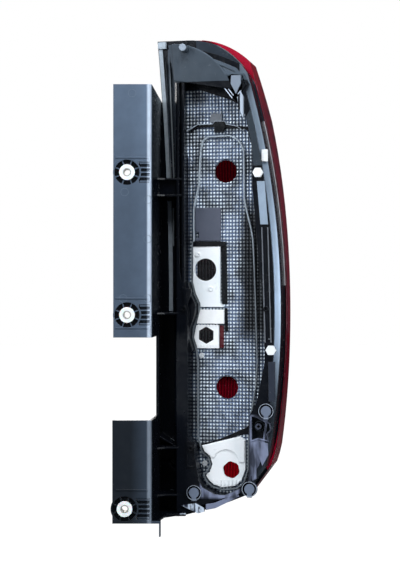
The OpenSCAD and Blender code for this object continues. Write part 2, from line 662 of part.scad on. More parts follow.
// A smooth tray that stands on the main reflector
module tray(points) {
    slab(panel_y, panel_y + sheet_t) polygon(points);
    slab(panel_y, sheet_y) difference() {
        polygon(points);
        polygon(grown(points, -1.6));
    }
}
module mid_reflector() color("#d5dbde") lamp() {
    difference() {
        tray(mid_panel);
        spot(hole_mid, panel_y - cut) cylinder(r = bulb_r, h = 2 * cut + sheet_t);
    }
    for (p = set_out([[45.5, -86], [60, -124]])) ring(p, panel_y + 0.5, 2.6, 1.2, 1.5);
}
module white_panel() color("#f2f4f4") lamp() tray(blank_panel);
module hex_reflector() color("#cfd6da") lamp() difference() {
    union() {
        tray(hex_panel);
        for (z = [hex_panel[0][1] - 1.2, hex_panel[2][1] + 1.8])
            for (x = [hex_panel[3][0] + 1 : 3.4 : hex_panel[2][0] - 2])
                translate([x, panel_y - 0.6, z]) cube([1.2, 1, 2.2]);
    }
    spot(hole_hex, panel_y - cut) rotate(30) cylinder(r = hex_af / sqrt(3), h = sheet_t + 2 * cut, $fn = 6);
}
module low_reflector() color("#e2e8ea") lamp() difference() {
    union() {
        tray(low_panel);
        // The raised upper field and the flutes of the bowl
        slab(panel_y - 1.2, panel_y + 0.5) intersection() {
            polygon(grown(low_panel, -0.8));
            difference() {
                translate([0, hole_low[1] + 9]) square([lamp_w, 40]);
                translate(hole_low + [-5.7, 8]) circle(r = 14.5);
                translate([0, hole_low[1] - 6]) square([hole_low[0] - 19.2, 19.5]);
            }
        }
        slab(panel_y - 1, panel_y + 0.5) intersection() {
            polygon(grown(low_panel, -0.8));
            for (x = [-21 : 4.2 : 9]) translate(hole_low + [x, -17]) square([1.6, 6]);
        }
    }
    intersection() {
        spot(hole_low, panel_y - cut) cylinder(r = low_hole_r, h = sheet_t + 2 * cut);
        spot(hole_low, panel_y - cut) rotate(18)
            cylinder(r = low_hole_r + 0.8, h = sheet_t + 2 * cut, $fn = 6);
    }
}
module cover_plate() color("#4c525e") lamp() difference() {
    slab(panel_y + 2, sheet_y) difference() {
        polygon(rect(cover));
        translate(cover[0] + [-cut, 3]) square([5, 7]);
    }
    slab(panel_y + 2 + sheet_t, sheet_y + cut)
        translate(cover[0] + [7, 2]) square(cover[1] - cover[0] - [9, 4]);
}
module carrier_gasket() color("#a9b0b6") lamp() slab(sheet_y - gasket_h, sheet_y) band(loop, gasket_t);
module divider_strip() color("#15171b") lamp() slab(sheet_y - 4, sheet_y) polygon(divider);
module slot_strip() color("#7e1320") lamp() slab(sheet_y - 3, sheet_y)
    translate(slot[0] + [0.3, 0.2]) square(slot[1] - slot[0] - [0.6, 0.3]);

module bush(p) color("#f0efe8") spot(p, 0) difference() {
    union() {
        cylinder(r = bush_head_r, h = bush_head_t);
        cylinder(r = bush_r, h = sleeve_length - cut);
    }
    translate([0, 0, -cut]) cylinder(r = bush_bore_r, h = sleeve_length + cut);
}
module sleeve(p) color("#b8b4a8") spot(p, 0) difference() {
    cylinder(r = sleeve_r, h = sleeve_length);
    translate([0, 0, -cut]) cylinder(r = sleeve_hole_r, h = sleeve_length + 2 * cut);
}
module bush_upper() bush(bush_points[0]);
module bush_middle() bush(bush_points[1]);
module bush_lower() bush(bush_points[2]);
module sleeve_upper() sleeve(bush_points[0]);
module sleeve_middle() sleeve(bush_points[1]);
module sleeve_lower() sleeve(bush_points[2]);

module hex_head(p) color("#f4f5f4") lamp() spot(p, deck_y - 2 - head_h) {
    cylinder(r = head_af / sqrt(3), h = head_h, $fn = 6);
    cylinder(r = shank_r, h = head_h + 7);
}
module head_upper() hex_head(head_points[0]);
module head_lower() hex_head(head_points[1]);
// A pin with a flat head and a short tab below it
module pin(p) color("#7d8694") lamp() spot(p, deck_y - 3) {
    cylinder(r = pin_r, h = 2);
    translate([-pin_tab_w / 2, 0, 0]) cube([pin_tab_w, pin_r + 3.4, 2]);
    cylinder(r = pin_shank_r, h = 8);
}
// The upper pin has a flat tongue for a head
module pin_top() color("#7d8694") lamp() {
    slab(deck_y - 3, deck_y - 1) polygon(tongue);
    spot(pin_points[0], deck_y - 3) cylinder(r = pin_shank_r, h = 8);
}
module pin_right() pin(pin_points[1]);
module pin_left() pin(pin_points[2]);
module pin_low() pin(pin_points[3]);
module stud_top() color("#8d97a3") lamp() spot(stud_at, deck_y - stud_boss_h - 3) {
    cylinder(r = 3.8, h = 3);
    cylinder(r = pin_shank_r, h = stud_boss_h + 8);
}
module foam_pad() color("#ffffff") lamp() slab(ledge_y - foam[2], ledge_y) translate(foam_at)
    square([foam[0], foam[1]]);
module panel_screws() color("#c9ced2") lamp() for (p = screw_points) spot(p, sheet_y - 3) {
    cylinder(r = 3, h = 2);
    cylinder(r = 1.5, h = 5);
}

housing();
lens_red();
lens_clear();
rim_seal();
main_reflector();
mid_reflector();
white_panel();
hex_reflector();
low_reflector();
cover_plate();
carrier_gasket();
divider_strip();
slot_strip();
bush_upper();
bush_middle();
bush_lower();
sleeve_upper();
sleeve_middle();
sleeve_lower();
head_upper();
head_lower();
pin_top();
pin_right();
pin_left();
pin_low();
stud_top();
foam_pad();
panel_screws();
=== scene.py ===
"""Finishes, fine detail, light and camera for a tall rear lamp seen from its fixing side."""

from math import cos, pi, radians, sin
from typing import NamedTuple

import bmesh
import bpy
from bpy.props import BoolProperty, FloatProperty, FloatVectorProperty, IntProperty, PointerProperty
from mathutils import Matrix, Vector
from mathutils.bvhtree import BVHTree


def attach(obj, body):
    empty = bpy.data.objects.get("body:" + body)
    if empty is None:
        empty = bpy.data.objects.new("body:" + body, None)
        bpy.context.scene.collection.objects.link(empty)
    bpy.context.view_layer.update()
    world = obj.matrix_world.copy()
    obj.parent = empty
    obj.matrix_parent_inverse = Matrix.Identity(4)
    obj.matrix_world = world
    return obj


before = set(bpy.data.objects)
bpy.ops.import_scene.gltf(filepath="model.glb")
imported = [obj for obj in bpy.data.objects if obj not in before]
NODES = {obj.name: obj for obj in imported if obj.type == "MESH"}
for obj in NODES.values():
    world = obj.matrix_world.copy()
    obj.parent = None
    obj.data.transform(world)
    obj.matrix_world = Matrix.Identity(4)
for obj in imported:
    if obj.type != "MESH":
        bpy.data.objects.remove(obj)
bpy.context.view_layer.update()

bl_info = {
    "name": "Rear Lamp Finishes",
    "version": (1, 0, 0),
    "blender": (4, 5, 0),
    "location": "View3D > Sidebar > Rear Lamp",
    "description": "Dresses a moulded rear lamp with its finishes, pillow pattern, light and camera",
    "category": "Object",
}

MM = 0.001

# The lamp is turned against the fixing plane: its own x runs along its width and y into its depth
LAMP_TURN = radians(13)
LAMP_CORNER = Vector((35, 95, 0)) * MM
LAMP_TO_ROW = Matrix.Translation(LAMP_CORNER) @ Matrix.Rotation(-LAMP_TURN, 4, "Z")
ROW_TO_LAMP = LAMP_TO_ROW.inverted()
# Turns a flat circle so that it faces the fixing side
FACING = Matrix.Rotation(pi / 2, 4, "X")


class Arc(NamedTuple):
    """An arc of the outline in the lamp's own frame, in millimetres, that counts between two heights."""
    x: float
    z: float
    radius: float
    lowest: float
    highest: float

    def set_in(self, by):
        return self._replace(radius=self.radius - by)

    @property
    def centre(self):
        return Vector((self.x, 0, self.z)) * MM


LOWEST = -500
HIGHEST = 200
CORNER_ARC = Arc(38, 66.5, 89, 66.5, HIGHEST)
SIDE_ARC = Arc(-809, -150, 952, LOWEST, HIGHEST)
LOW_ARC = Arc(-240, -205, 383, LOWEST, -200)
FOOT_ARC = Arc(-3908, 2635.6, 5000, LOWEST, HIGHEST)
# The red lip of the lens begins this far inside the outline, and ends this far inside each of its arcs
LIP_GAP = 0.2
LIP_SIDE = 0.9
LIP_LOW = 2.0
LIP_FOOT = 4.6
# At the upper corner the lip is widest, and ends on an arc of its own
LIP_CORNER_ARC = Arc(11.8, 54.6, 108, 54.6, HIGHEST)

# The round-ended slate face above the well: centre and radius in the lamp's own frame, in millimetres
TOP_CENTRE = (20, 75)
TOP_RADIUS = 70.8

# Depths in the lamp's own frame, in millimetres, from the fixing side to the lens
DECK = (-200, -34.5)
RAISED = (-200, -36.8)
RIM_FACE = (-3.4, -2.6)
# The plain part of the reflector's sheet, and the depth just clear of it where the added forms stand
SHEET_AT = -12
FORM_FOOT = SHEET_AT - 0.2

# Places on the housing with painted sheen, highlights and glints where light falls, and boss tips kept
# black. Each has its reach along x, y and z of the lamp's own frame and the softness of its border, in
# millimetres
PLACES = {
    "crest": dict(x=(7, 27.5), y=(-33, -2), z=(0, 146)),
    "top": dict(y=DECK, z=(103.4, 300)),
    "top corner": dict(x=(30, 200), y=DECK, z=(110, 300)),
    "upper rail": dict(x=(100, 125), y=RAISED, z=(9, 75)),
    "middle rail": dict(x=(112, 130), y=RAISED, z=(-55, -6)),
    "long rail": dict(x=(115, 140), y=RAISED, z=(-183, -56)),
    "low rail": dict(x=(125, 140), y=RAISED, z=(-247, -202)),
    "foot": dict(x=(107, 300), y=DECK, z=(-400, -262), blur=2),
    "foot bar": dict(x=(30, 58), y=RAISED, z=(-371, -358)),
    "foot edge": dict(x=(58, 97), y=RAISED, z=(-369, -346)),
    "foot deck": dict(x=(52, 96), y=DECK, z=(-353, -338), blur=1.5),
    "shoulder": dict(x=(93.5, 103.5), y=RAISED, z=(61, 92)),
    "shoulder lines": dict(x=(77, 92), y=(-36.9, -36.2), z=(83, 98), blur=0.1),
    "crest line": dict(x=(11, 17), y=(-9, -7), blur=0.2),
    "boss tips": dict(y=(-39.3, -38.3), blur=0.1),
    "ledge": dict(x=(95, 300), y=(-31, -29)),
    "upper rim": dict(x=(40, 300), y=RIM_FACE, z=(20, 300), blur=0.2),
    "side rim": dict(y=RIM_FACE, z=(-120, 62), blur=0.2),
    "corner rim": dict(x=(60, 300), y=RIM_FACE, z=(62, 300), blur=0.2),
}
# The same for places on the fixing plates, along x, y and z of the fixing plane's frame
PLATE_PLACES = {
    "both plates": dict(y=(-20, 3.4)),
    "upper plate": dict(z=(-200, 200)),
    # The bend and the upper plate's left edge take painted highlights
    "bend": dict(x=(21.4, 25.6), blur=0.8),
    "bend depth": dict(y=(-20, 4)),
    "left edge": dict(x=(-18, -15.9)),
}

# Lowest and highest point of the ledge, in millimetres, and its painted sheen from the one to the other:
# places from 0 to 1, and a share of its own colour at each
LEDGE_REACH = (-260, 120)
LEDGE_SHEEN_TONES = (
    (0.0, 0.15), (0.08, 0.65), (0.20, 1.6), (0.33, 2.0), (0.45, 1.7), (0.62, 1.05), (0.85, 0.7), (1.0, 0.35))

# Noise patterns of the finishes: scale, detail, roughness and stretch
EVEN = (1, 1, 1)
PATTERNS = {
    "flow": (9, 3, 0.5, (1, 1, 0.35)),
    "cloud": (60, 4, 0.6, EVEN),
    "scuffs": (140, 5, 0.65, EVEN),
    "wave": (28, 2, 0.4, EVEN),
    "grain": (3200, 2, 0.5, EVEN),
    "streaks": (420, 3, 0.6, (1, 1, 0.02)),
    "facets": (75, 2, 0.4, (1.6, 1, 0.5)),
    "glints": (260, 2, 0.5, (1, 1, 0.4)),
    "haze": (45, 3, 0.5, (1, 1, 0.3)),
    "polish": (220, 3, 0.5, EVEN),
    "ripple": (30, 2, 0.5, EVEN),
    "pillow cloud": (38, 3, 0.6, EVEN),
    "pillow glitter": (75, 2, 0.5, EVEN),
    "film smoke": (26, 4, 0.55, EVEN),
    "film sheen": (90, 4, 0.6, EVEN),
    "film grain": (700, 2, 0.5, EVEN),
    "dust": (160, 6, 0.7, EVEN),
    "rubber sheen": (300, 4, 0.5, EVEN),
    "pores": (1500, 3, 0.5, EVEN),
    "pale cloud": (120, 3, 0.55, EVEN),
    "pale sheen": (400, 3, 0.5, EVEN),
    "pale grain": (1800, 2, 0.5, EVEN),
    "sintered": (1400, 2, 0.6, EVEN),
}
# Most of a pattern lies between these two values
MIDDLE = (0.3, 0.7)


# Settings

def colour(name, description, value):
    return FloatVectorProperty(
        name=name, description=description, subtype="COLOR", size=3, min=0, max=1, default=value)


def length(name, description, value, top):
    return FloatProperty(
        name=name, description=description, subtype="DISTANCE", unit="LENGTH",
        default=value, min=0, soft_max=top)


class LampColours(bpy.types.PropertyGroup):
    """Colours of the lamp's finishes."""
    housing: colour("Housing", "Black plastic of the housing", (0.0016, 0.0022, 0.0040))
    # Painted sheen: the slate of the plates stands for light falling on the black plastic, and the plate
    # edge is a painted highlight
    plate: colour("Plates", "Slate tone of the upper fixing plate", (0.074, 0.102, 0.146))
    plate_edge_highlight: colour("Plate edge", "Left edge of the upper fixing plate", (0.22, 0.25, 0.29))
    # Painted sheen on the black top and the rails down the right side
    top: colour("Top", "Slate tone of the top plate", (0.051, 0.066, 0.084))
    # Painted highlight streaks along the crest, painted shade between them, and a painted highlight line
    # beside it
    crest: colour("Crest", "Pale streaks along the crest", (0.085, 0.105, 0.135))
    crest_dark: colour("Crest dark", "Dark streaks along the crest", (0.012, 0.016, 0.022))
    crest_highlight_line: colour("Crest line", "Thin line beside the crest", (0.25, 0.28, 0.30))
    long_rail_sheen: colour("Long rail", "Grey of the long rail on the right", (0.13, 0.14, 0.16))
    low_rail_sheen: colour("Low rail", "Slate of the rail below it", (0.030, 0.036, 0.052))
    # Painted sheen on the facets at the foot, and the bar's tone under its painted glints
    foot: colour("Foot", "Slate tone of the facets at the foot", (0.150, 0.168, 0.240))
    foot_bar: colour("Foot bar", "Dark tone of the bar with the slot at the foot", (0.03, 0.035, 0.06))
    # Painted sheen on the ledge and the rim, and painted highlight lines along the rim's edge
    ledge: colour("Ledge", "Pale tone of the ledge along the right edge", (0.29, 0.36, 0.45))
    shine: colour("Shine", "Tone of the edges that catch the light", (0.62, 0.70, 0.82))
    rim: colour("Rim", "Upper face of the rim", (0.022, 0.030, 0.042))
    rim_side_highlight: colour("Rim side line", "Line along the side of the rim", (0.85, 0.86, 0.9))
    rim_corner_highlight: colour("Rim corner line", "Line round the corner of the rim", (0.30, 0.32, 0.36))
    divider: colour("Divider", "Pale tone of the divider", (0.006, 0.007, 0.009))
    divider_dark: colour("Divider dark", "Dark tone of the divider", (0.002, 0.0025, 0.004))
    cover: colour("Cover plate", "Pale tone of the cover plate", (0.095, 0.105, 0.145))
    cover_dark: colour("Cover plate dark", "Dark tone of the cover plate", (0.070, 0.080, 0.112))
    red: colour("Red lens", "Red plastic of the lens", (0.62, 0.004, 0.018))
    red_side: colour("Red lens side", "Red plastic along the side of the lens", (0.30, 0.003, 0.020))
    lip: colour("Lip", "Red lip at its two corners", (0.42, 0.003, 0.026))
    lip_side: colour("Lip side", "Red lip along the side", (0.13, 0.0015, 0.013))
    strip: colour("Slot strip", "Red strip in the slot", (0.11, 0.003, 0.009))
    clear: colour("Clear window", "Clear plastic of the window in the lens", (0.74, 0.69, 0.65))
    silver: colour("Silver", "Metal film on the pillows", (0.86, 0.94, 1.0))
    # Painted shade in the grooves between the pillows' spots
    smoke_and_groove_shade: colour("Smoke", "Dark tone between the bright spots of the metal film", (0.008, 0.011, 0.018))
    film: colour("Bright film", "Metal film on the smooth reflectors", (0.98, 0.99, 1.0))
    film_smoke: colour("Film smoke", "Clouds in the bright film", (0.88, 0.93, 0.96))
    panel: colour("Panel", "White blank panel", (1.0, 1.0, 1.0))
    seal: colour("Seal", "Grey rubber of the seals", (0.44, 0.50, 0.56))
    foam: colour("Foam", "White foam pad", (1.0, 1.0, 1.0))
    white: colour("White", "White plastic of the bushes", (0.90, 0.91, 0.90))
    heads: colour("Heads", "White plastic of the screw heads", (0.93, 0.94, 0.94))
    grey: colour("Grey", "Grey plastic of the locating pins", (0.150, 0.182, 0.25))
    # A paler copy of the pins' grey, painted for the light that falls on the top pin
    lit_tongue: colour("Tongue", "Grey plastic of the top pin", (0.20, 0.24, 0.30))
    stud: colour("Stud", "Grey plastic of the stud", (0.30, 0.35, 0.42))
    patch: colour("Patch", "Smooth grey patch on the pillows", (0.16, 0.175, 0.20))
    # Painted highlight on the thin raised lines
    lines: colour("Lines", "Thin raised lines", (0.42, 0.47, 0.55))
    # The marks' tone is a painted sheen, paler than the plates'
    marks: colour("Marks", "Ejector marks", (0.13, 0.17, 0.22))
    sleeve: colour("Sleeves", "Pale grains of the sleeves", (0.74, 0.73, 0.68))
    sleeve_dark: colour("Sleeves dark", "Dark grains of the sleeves", (0.30, 0.29, 0.27))
    screw: colour("Screws", "Pale grains of the small screws", (0.85, 0.87, 0.88))
    screw_dark: colour("Screws dark", "Dark grains of the small screws", (0.55, 0.57, 0.6))


class LampSizes(bpy.types.PropertyGroup):
    """Sizes of the fine detail that is added to the lamp."""
    pillow_across: length("Pillow width", "Pitch of the pillows across the lamp", 3.8 * MM, 0.006)
    pillow_up: length("Pillow height", "Pitch of the pillows along the lamp", 3.9 * MM, 0.006)
    pillow_rise: length("Pillow rise", "How far a pillow stands up", 0.8 * MM, 0.002)
    pillow_steps: IntProperty(
        name="Pillow steps", description="Faces along each side of a pillow", default=4, min=2, max=6)
    mark_radius: length("Mark radius", "Radius of the ejector marks on the plates", 4.2 * MM, 0.01)
    mark_line: length("Mark line", "Width of the raised line of a mark", 0.35 * MM, 0.001)
    soft_edge: length("Soft edge", "Radius that catches light along moulded edges", 0.55 * MM, 0.002)


class StageSettings(bpy.types.PropertyGroup):
    """The camera, floor and lights."""
    camera_at: FloatVectorProperty(
        name="Camera", description="Place of the camera", subtype="TRANSLATION", unit="LENGTH",
        default=(0.0775, -1.4, -0.1197))
    lens: FloatProperty(
        name="Lens", description="Focal length for a 36 mm long side, in millimetres", default=83.37, min=1)
    floor_at: length("Floor", "Depth of the floor below the fixing hole", 0.46, 1.0)
    white_world: BoolProperty(
        name="White surround", description="Show plain white behind the lamp", default=True)


# Materials

def times(tone, share):
    """A tone made darker or paler by a share."""
    return tuple(c * share for c in tone)


class Finish:
    """A material under construction, with masks for places on the fixing plates and on the lamp."""

    def __init__(self, name):
        self.material = bpy.data.materials.new(name)
        self.material.use_nodes = True
        self.tree = self.material.node_tree
        self.shader = self.tree.nodes["Principled BSDF"]
        self.place = self.node("ShaderNodeTexCoord").outputs["Object"]
        inputs = {"Vector": self.place, "Location": LAMP_CORNER, "Rotation": (0, 0, -LAMP_TURN)}
        turned = self.node("ShaderNodeMapping", inputs, vector_type="TEXTURE").outputs["Vector"]
        self.row = self.split(self.place)
        self.lamp = self.split(turned)
        self.x, self.y, self.z = self.lamp

    def node(self, kind, inputs=None, **settings):
        made = self.tree.nodes.new(kind)
        for key, value in settings.items():
            setattr(made, key, value)
        for key, value in (inputs or {}).items():
            self.feed(made.inputs[key], value)
        return made

    def feed(self, socket, value):
        """Links a socket to another one, or sets it to a plain value."""
        if isinstance(value, bpy.types.NodeSocket):
            self.tree.links.new(value, socket)
        else:
            socket.default_value = value

    def set(self, **values):
        """Sets or links the shader's sockets; an underscore stands for a space."""
        for key, value in values.items():
            self.feed(self.shader.inputs[key.replace("_", " ")], value)

    def split(self, vector):
        parts = self.node("ShaderNodeSeparateXYZ", {"Vector": vector}).outputs
        return parts["X"], parts["Y"], parts["Z"]

    def math(self, kind, a, b):
        return self.node("ShaderNodeMath", {0: a, 1: b}, operation=kind).outputs["Value"]

    def both(self, first, *others):
        """One where every mask is one."""
        for mask in others:
            first = self.math("MULTIPLY", first, mask)
        return first

    def spread(self, value, low, high, to_low=0.0, to_high=1.0):
        """Stretches the values between low and high over another span, and holds them at its ends."""
        inputs = {"Value": value, "From Min": low, "From Max": high, "To Min": to_low, "To Max": to_high}
        return self.node("ShaderNodeMapRange", inputs, clamp=True).outputs["Result"]

    def rise(self, value, low, high, to_low=0.0, to_high=1.0):
        """The same for a value in metres and a span in millimetres."""
        return self.spread(value, low * MM, high * MM, to_low, to_high)

    def between(self, value, low, high, blur):
        """One where a value in metres lies between two in millimetres, and nought elsewhere."""
        over = self.rise(value, low - blur, low + blur)
        under = self.rise(value, high - blur, high + blur, 1.0, 0.0)
        return self.math("MULTIPLY", over, under)

    def zone(self, places, blur, x=None, y=None, z=None):
        """One inside a box whose sides are given in millimetres; a side left out has no limit."""
        sides = [self.between(value, *span, blur) for value, span in zip(places, (x, y, z)) if span]
        return self.both(*sides)

    def on_lamp(self, name):
        """One on a named place of the housing."""
        return self.zone(self.lamp, **{"blur": 0.4, **PLACES[name]})

    def on_plate(self, name):
        """One on a named place of the fixing plates."""
        return self.zone(self.row, **{"blur": 0.5, **PLATE_PLACES[name]})

    def distance(self, centre):
        """How far each point lies from a centre, seen along the lamp's depth."""
        flat = self.node("ShaderNodeCombineXYZ", {"X": self.x, "Z": self.z}).outputs["Vector"]
        return self.node("ShaderNodeVectorMath", {0: flat, 1: centre}, operation="DISTANCE").outputs["Value"]

    def inside(self, arc, start, end):
        """One in the band that lies between two distances inside an arc, in millimetres."""
        depth = self.math("SUBTRACT", arc.radius * MM, self.distance(arc.centre))
        return self.between(depth, start, end, 0.2)

    def ends(self, upper, lower):
        """Rises to one towards the top and towards the foot, over two spans of height in millimetres."""
        return self.math("MAXIMUM", self.rise(self.z, *upper), self.rise(self.z, *lower))

    def pattern(self, name):
        """One of the noise patterns."""
        scale, detail, rough, stretch = PATTERNS[name]
        place = self.place
        if stretch != EVEN:
            place = self.node("ShaderNodeMapping", {"Vector": place, "Scale": stretch}).outputs["Vector"]
        inputs = {"Vector": place, "Scale": scale, "Detail": detail, "Roughness": rough}
        return self.node("ShaderNodeTexNoise", inputs).outputs["Fac"]

    def mixed(self, fac, first, second):
        """The first colour where fac is 0 and the second where it is 1."""
        made = self.node("ShaderNodeMix", data_type="RGBA")
        sockets = [i for i in made.inputs if i.enabled]
        for socket, value in zip(sockets, (fac, first, second)):
            plain = not isinstance(value, bpy.types.NodeSocket)
            self.feed(socket, (*value, 1) if plain else value)
        return next(o for o in made.outputs if o.enabled)

    def paint(self, colour, layers):
        """Lays each layer, a mask and its tone, over a colour."""
        for mask, tone in layers:
            colour = self.mixed(mask, colour, tone)
        return colour

    def scaled(self, colour, amount):
        inputs = {"Vector": colour, "Scale": amount}
        return self.node("ShaderNodeVectorMath", inputs, operation="SCALE").outputs["Vector"]

    def ramp(self, fac, stops):
        """A colour that runs through several stops, each a place from 0 to 1 and a tone."""
        made = self.node("ShaderNodeValToRGB", {"Fac": fac})
        elements = made.color_ramp.elements
        while len(elements) < len(stops):
            elements.new(1)
        for element, (at, tone) in zip(elements, stops):
            element.position = at
            element.color = (*tone, 1)
        return made.outputs["Color"]

    def tones(self, fac, first, second):
        """A colour that runs from the first to the second as fac goes from 0 to 1."""
        return self.ramp(fac, ((0, first), (1, second)))

    def clouded(self, name, span, first, second):
        """A colour that changes with a pattern, from the first to the second over a span of its values."""
        return self.tones(self.spread(self.pattern(name), *span), first, second)

    def roughen(self, name, smoothest, roughest):
        """Roughness that wanders between two values with a pattern."""
        self.set(Roughness=self.spread(self.pattern(name), *MIDDLE, smoothest, roughest))

    def soft_edge(self, radius):
        return self.node("ShaderNodeBevel", {"Radius": radius}, samples=4).outputs["Normal"]

    def bump(self, name, depth, strength, edge=None, over=None):
        """Normals with a pattern in relief, over soft edges or other normals."""
        inputs = {"Height": self.pattern(name), "Distance": depth, "Strength": strength}
        if edge is not None:
            over = self.soft_edge(edge)
        if over is not None:
            inputs["Normal"] = over
        return self.node("ShaderNodeBump", inputs).outputs["Normal"]

    def moulded_skin(self, edge):
        """Normals of a black moulding: a slow wave, fine grain, and edges that catch the light."""
        wave = self.bump("wave", 0.9 * MM, 0.35, edge=edge)
        self.set(Normal=self.bump("grain", 0.04 * MM, 0.5, over=wave))


def moulded(name, dark, pale, rough, edge):
    """Moulded dark plastic: faint flow marks, fine grain and edges that catch the light."""
    f = Finish(name)
    mix = f.both(f.pattern("flow"), f.pattern("cloud"))
    f.set(Base_Color=f.tones(f.spread(mix, 0.12, 0.42), dark, pale), Specular_IOR_Level=0.35)
    f.roughen("scuffs", rough - 0.05, rough + 0.07)
    f.moulded_skin(edge)
    return f.material


def crest_layers(f, tones):
    """Painted highlight streaks along the crest's ribs, over painted shade, between the plates and the well.
    """
    return [(f.on_lamp("crest"), f.clouded("streaks", (0.38, 0.62), tones.crest_dark, tones.crest))]


def plate_layers(f, tones, plates):
    """The two fixing plates in painted sheen: the upper one paler than the lower, both paler towards their
    round bend, with painted highlights on the bend and the upper plate's left edge.
    """
    # Shares of the plates' painted sheen at the left and at the bend, and of the painted highlight on the
    # lower and upper bend
    lower_left, lower_right = 0.11, 0.52
    upper_left, upper_right = 0.86, 1.15
    lower_bend_highlight, upper_bend_highlight = 0.25, 0.75
    across = f.row[0]
    upper = f.on_plate("upper plate")
    sheen_towards_bend = f.rise(across, 4, 26)
    lower_plate_sheen = f.tones(sheen_towards_bend, times(tones.plate, lower_left), times(tones.plate, lower_right))
    upper_plate_sheen = f.tones(sheen_towards_bend, times(tones.plate, upper_left), times(tones.plate, upper_right))
    sheen_upwards = f.rise(f.z, -30, 70, 0.98, 1.35)
    bend_highlight_share = f.spread(upper, 0, 1, lower_bend_highlight, upper_bend_highlight)
    bend = f.both(f.on_plate("bend depth"), f.on_plate("bend"), bend_highlight_share)
    return [
        (plates, f.scaled(f.mixed(upper, lower_plate_sheen, upper_plate_sheen), sheen_upwards)),
        (bend, tones.shine),
        (f.both(plates, upper, f.on_plate("left edge")), tones.plate_edge_highlight),
    ]


def deck_layers(f, tones):
    """Painted slate sheen on the flat top, paler beyond its round edge at the corner, and on the rails down
    the right side.
    """
    x, z = TOP_CENTRE
    border_start, border_end = 69, 70
    bevel_sheen_reach = f.rise(f.distance(Vector((x, 0, z)) * MM), border_start, border_end)
    # Shares of the top's painted sheen
    corner_sheen_share, rail_sheen_share = 1.5, 0.6
    return [
        (f.on_lamp("top"), tones.top),
        (f.both(f.on_lamp("top corner"), bevel_sheen_reach), times(tones.top, corner_sheen_share)),
        (f.on_lamp("upper rail"), times(tones.top, rail_sheen_share)),
        (f.on_lamp("middle rail"), tones.ledge),
        (f.on_lamp("long rail"), tones.long_rail_sheen),
        (f.on_lamp("low rail"), tones.low_rail_sheen),
    ]


def foot_layers(f, tones):
    """Painted sheen on the glossy facets at the foot, and painted glints on the bar with the slot."""
    # Shares of the foot's painted sheen
    dark_share, pale_share, edge_share = 0.3, 1.5, 1.3
    facets = f.clouded("facets", (0.40, 0.58), times(tones.foot, dark_share), times(tones.foot, pale_share))
    return [
        (f.on_lamp("foot"), facets),
        (f.on_lamp("foot bar"), f.clouded("glints", (0.42, 0.56), tones.foot_bar, tones.shine)),
        (f.on_lamp("foot edge"), times(tones.foot, edge_share)),
        (f.on_lamp("foot deck"), facets),
    ]


def glint_layers(f, tones):
    """Small places that catch the light, and the boss tips that don't."""
    shoulder_share = 0.75
    return [
        (f.on_lamp("shoulder"), times(tones.shine, shoulder_share)),
        (f.on_lamp("shoulder lines"), tones.shine),
        (f.on_lamp("crest line"), tones.crest_highlight_line),
        (f.on_lamp("boss tips"), tones.housing),
    ]


def rim_layers(f, tones):
    """Painted sheen on the pale ledge and the rim behind it, and painted highlight lines along the rim's
    edge.
    """
    stops = [(at, times(tones.ledge, share)) for at, share in LEDGE_SHEEN_TONES]
    line_width, corner_start, corner_end = 1.3, -0.2, 0.9
    side_highlight = f.inside(SIDE_ARC, LIP_SIDE, LIP_SIDE + line_width)
    corner_highlight = f.inside(LIP_CORNER_ARC, corner_start, corner_end)
    return [
        (f.on_lamp("ledge"), f.ramp(f.rise(f.z, *LEDGE_REACH), stops)),
        (f.on_lamp("upper rim"), tones.rim),
        (f.both(side_highlight, f.on_lamp("side rim")), tones.rim_side_highlight),
        (f.both(corner_highlight, f.on_lamp("corner rim")), tones.rim_corner_highlight),
    ]


def housing_plastic(name, tones, edge):
    """The housing's plastic: glossy black in the lamp, satin on the plates, and painted slate sheen on the
    plates, top, foot and rails.
    """
    f = Finish(name)
    plates = f.on_plate("both plates")
    black = f.tones(f.pattern("flow"), tones.housing, times(tones.housing, 2))
    # The layers paint sheen, highlights and glints over the black, where light falls on the housing
    colour = f.paint(black, (
        crest_layers(f, tones) + plate_layers(f, tones, plates) + deck_layers(f, tones)
        + foot_layers(f, tones) + glint_layers(f, tones) + rim_layers(f, tones)))
    f.set(Base_Color=f.scaled(colour, f.spread(f.pattern("cloud"), *MIDDLE, 0.88, 1.06)))
    glossy, satin = 0.22, 0.38
    scuffs = f.spread(f.pattern("scuffs"), *MIDDLE, -0.05, 0.07)
    f.set(Roughness=f.math("ADD", f.spread(plates, 0, 1, glossy, satin), scuffs), Specular_IOR_Level=0.32)
    f.moulded_skin(edge)
    return f.material


def lens_plastic(name, tint, rough, clear, side=None):
    """Tinted see-through plastic with flutes, a little haze, and a deeper tone along the long side."""
    f = Finish(name)
    half_flute, groove, crown, groove_share = 1.7, 0.3, 1.2, 0.35
    flute = f.rise(f.math("PINGPONG", f.x, half_flute * MM), groove, crown, groove_share, 1.0)
    towards_rim = f.rise(f.y, 40, 20)
    colour = f.clouded("haze", (0.35, 0.65), times(tint, 0.72), tint)
    if side:
        colour = f.mixed(f.ends((70, 115), (-270, -320)), side, colour)
    f.set(Base_Color=f.scaled(colour, f.math("MAXIMUM", flute, towards_rim)))
    f.roughen("polish", rough * 0.8, rough * 1.3)
    f.set(Normal=f.bump("ripple", 0.8 * MM, 0.15, edge=0.8 * MM))
    f.set(Transmission_Weight=clear, IOR=1.49, Coat_Weight=0.15, Coat_Roughness=0.04)
    return f.material


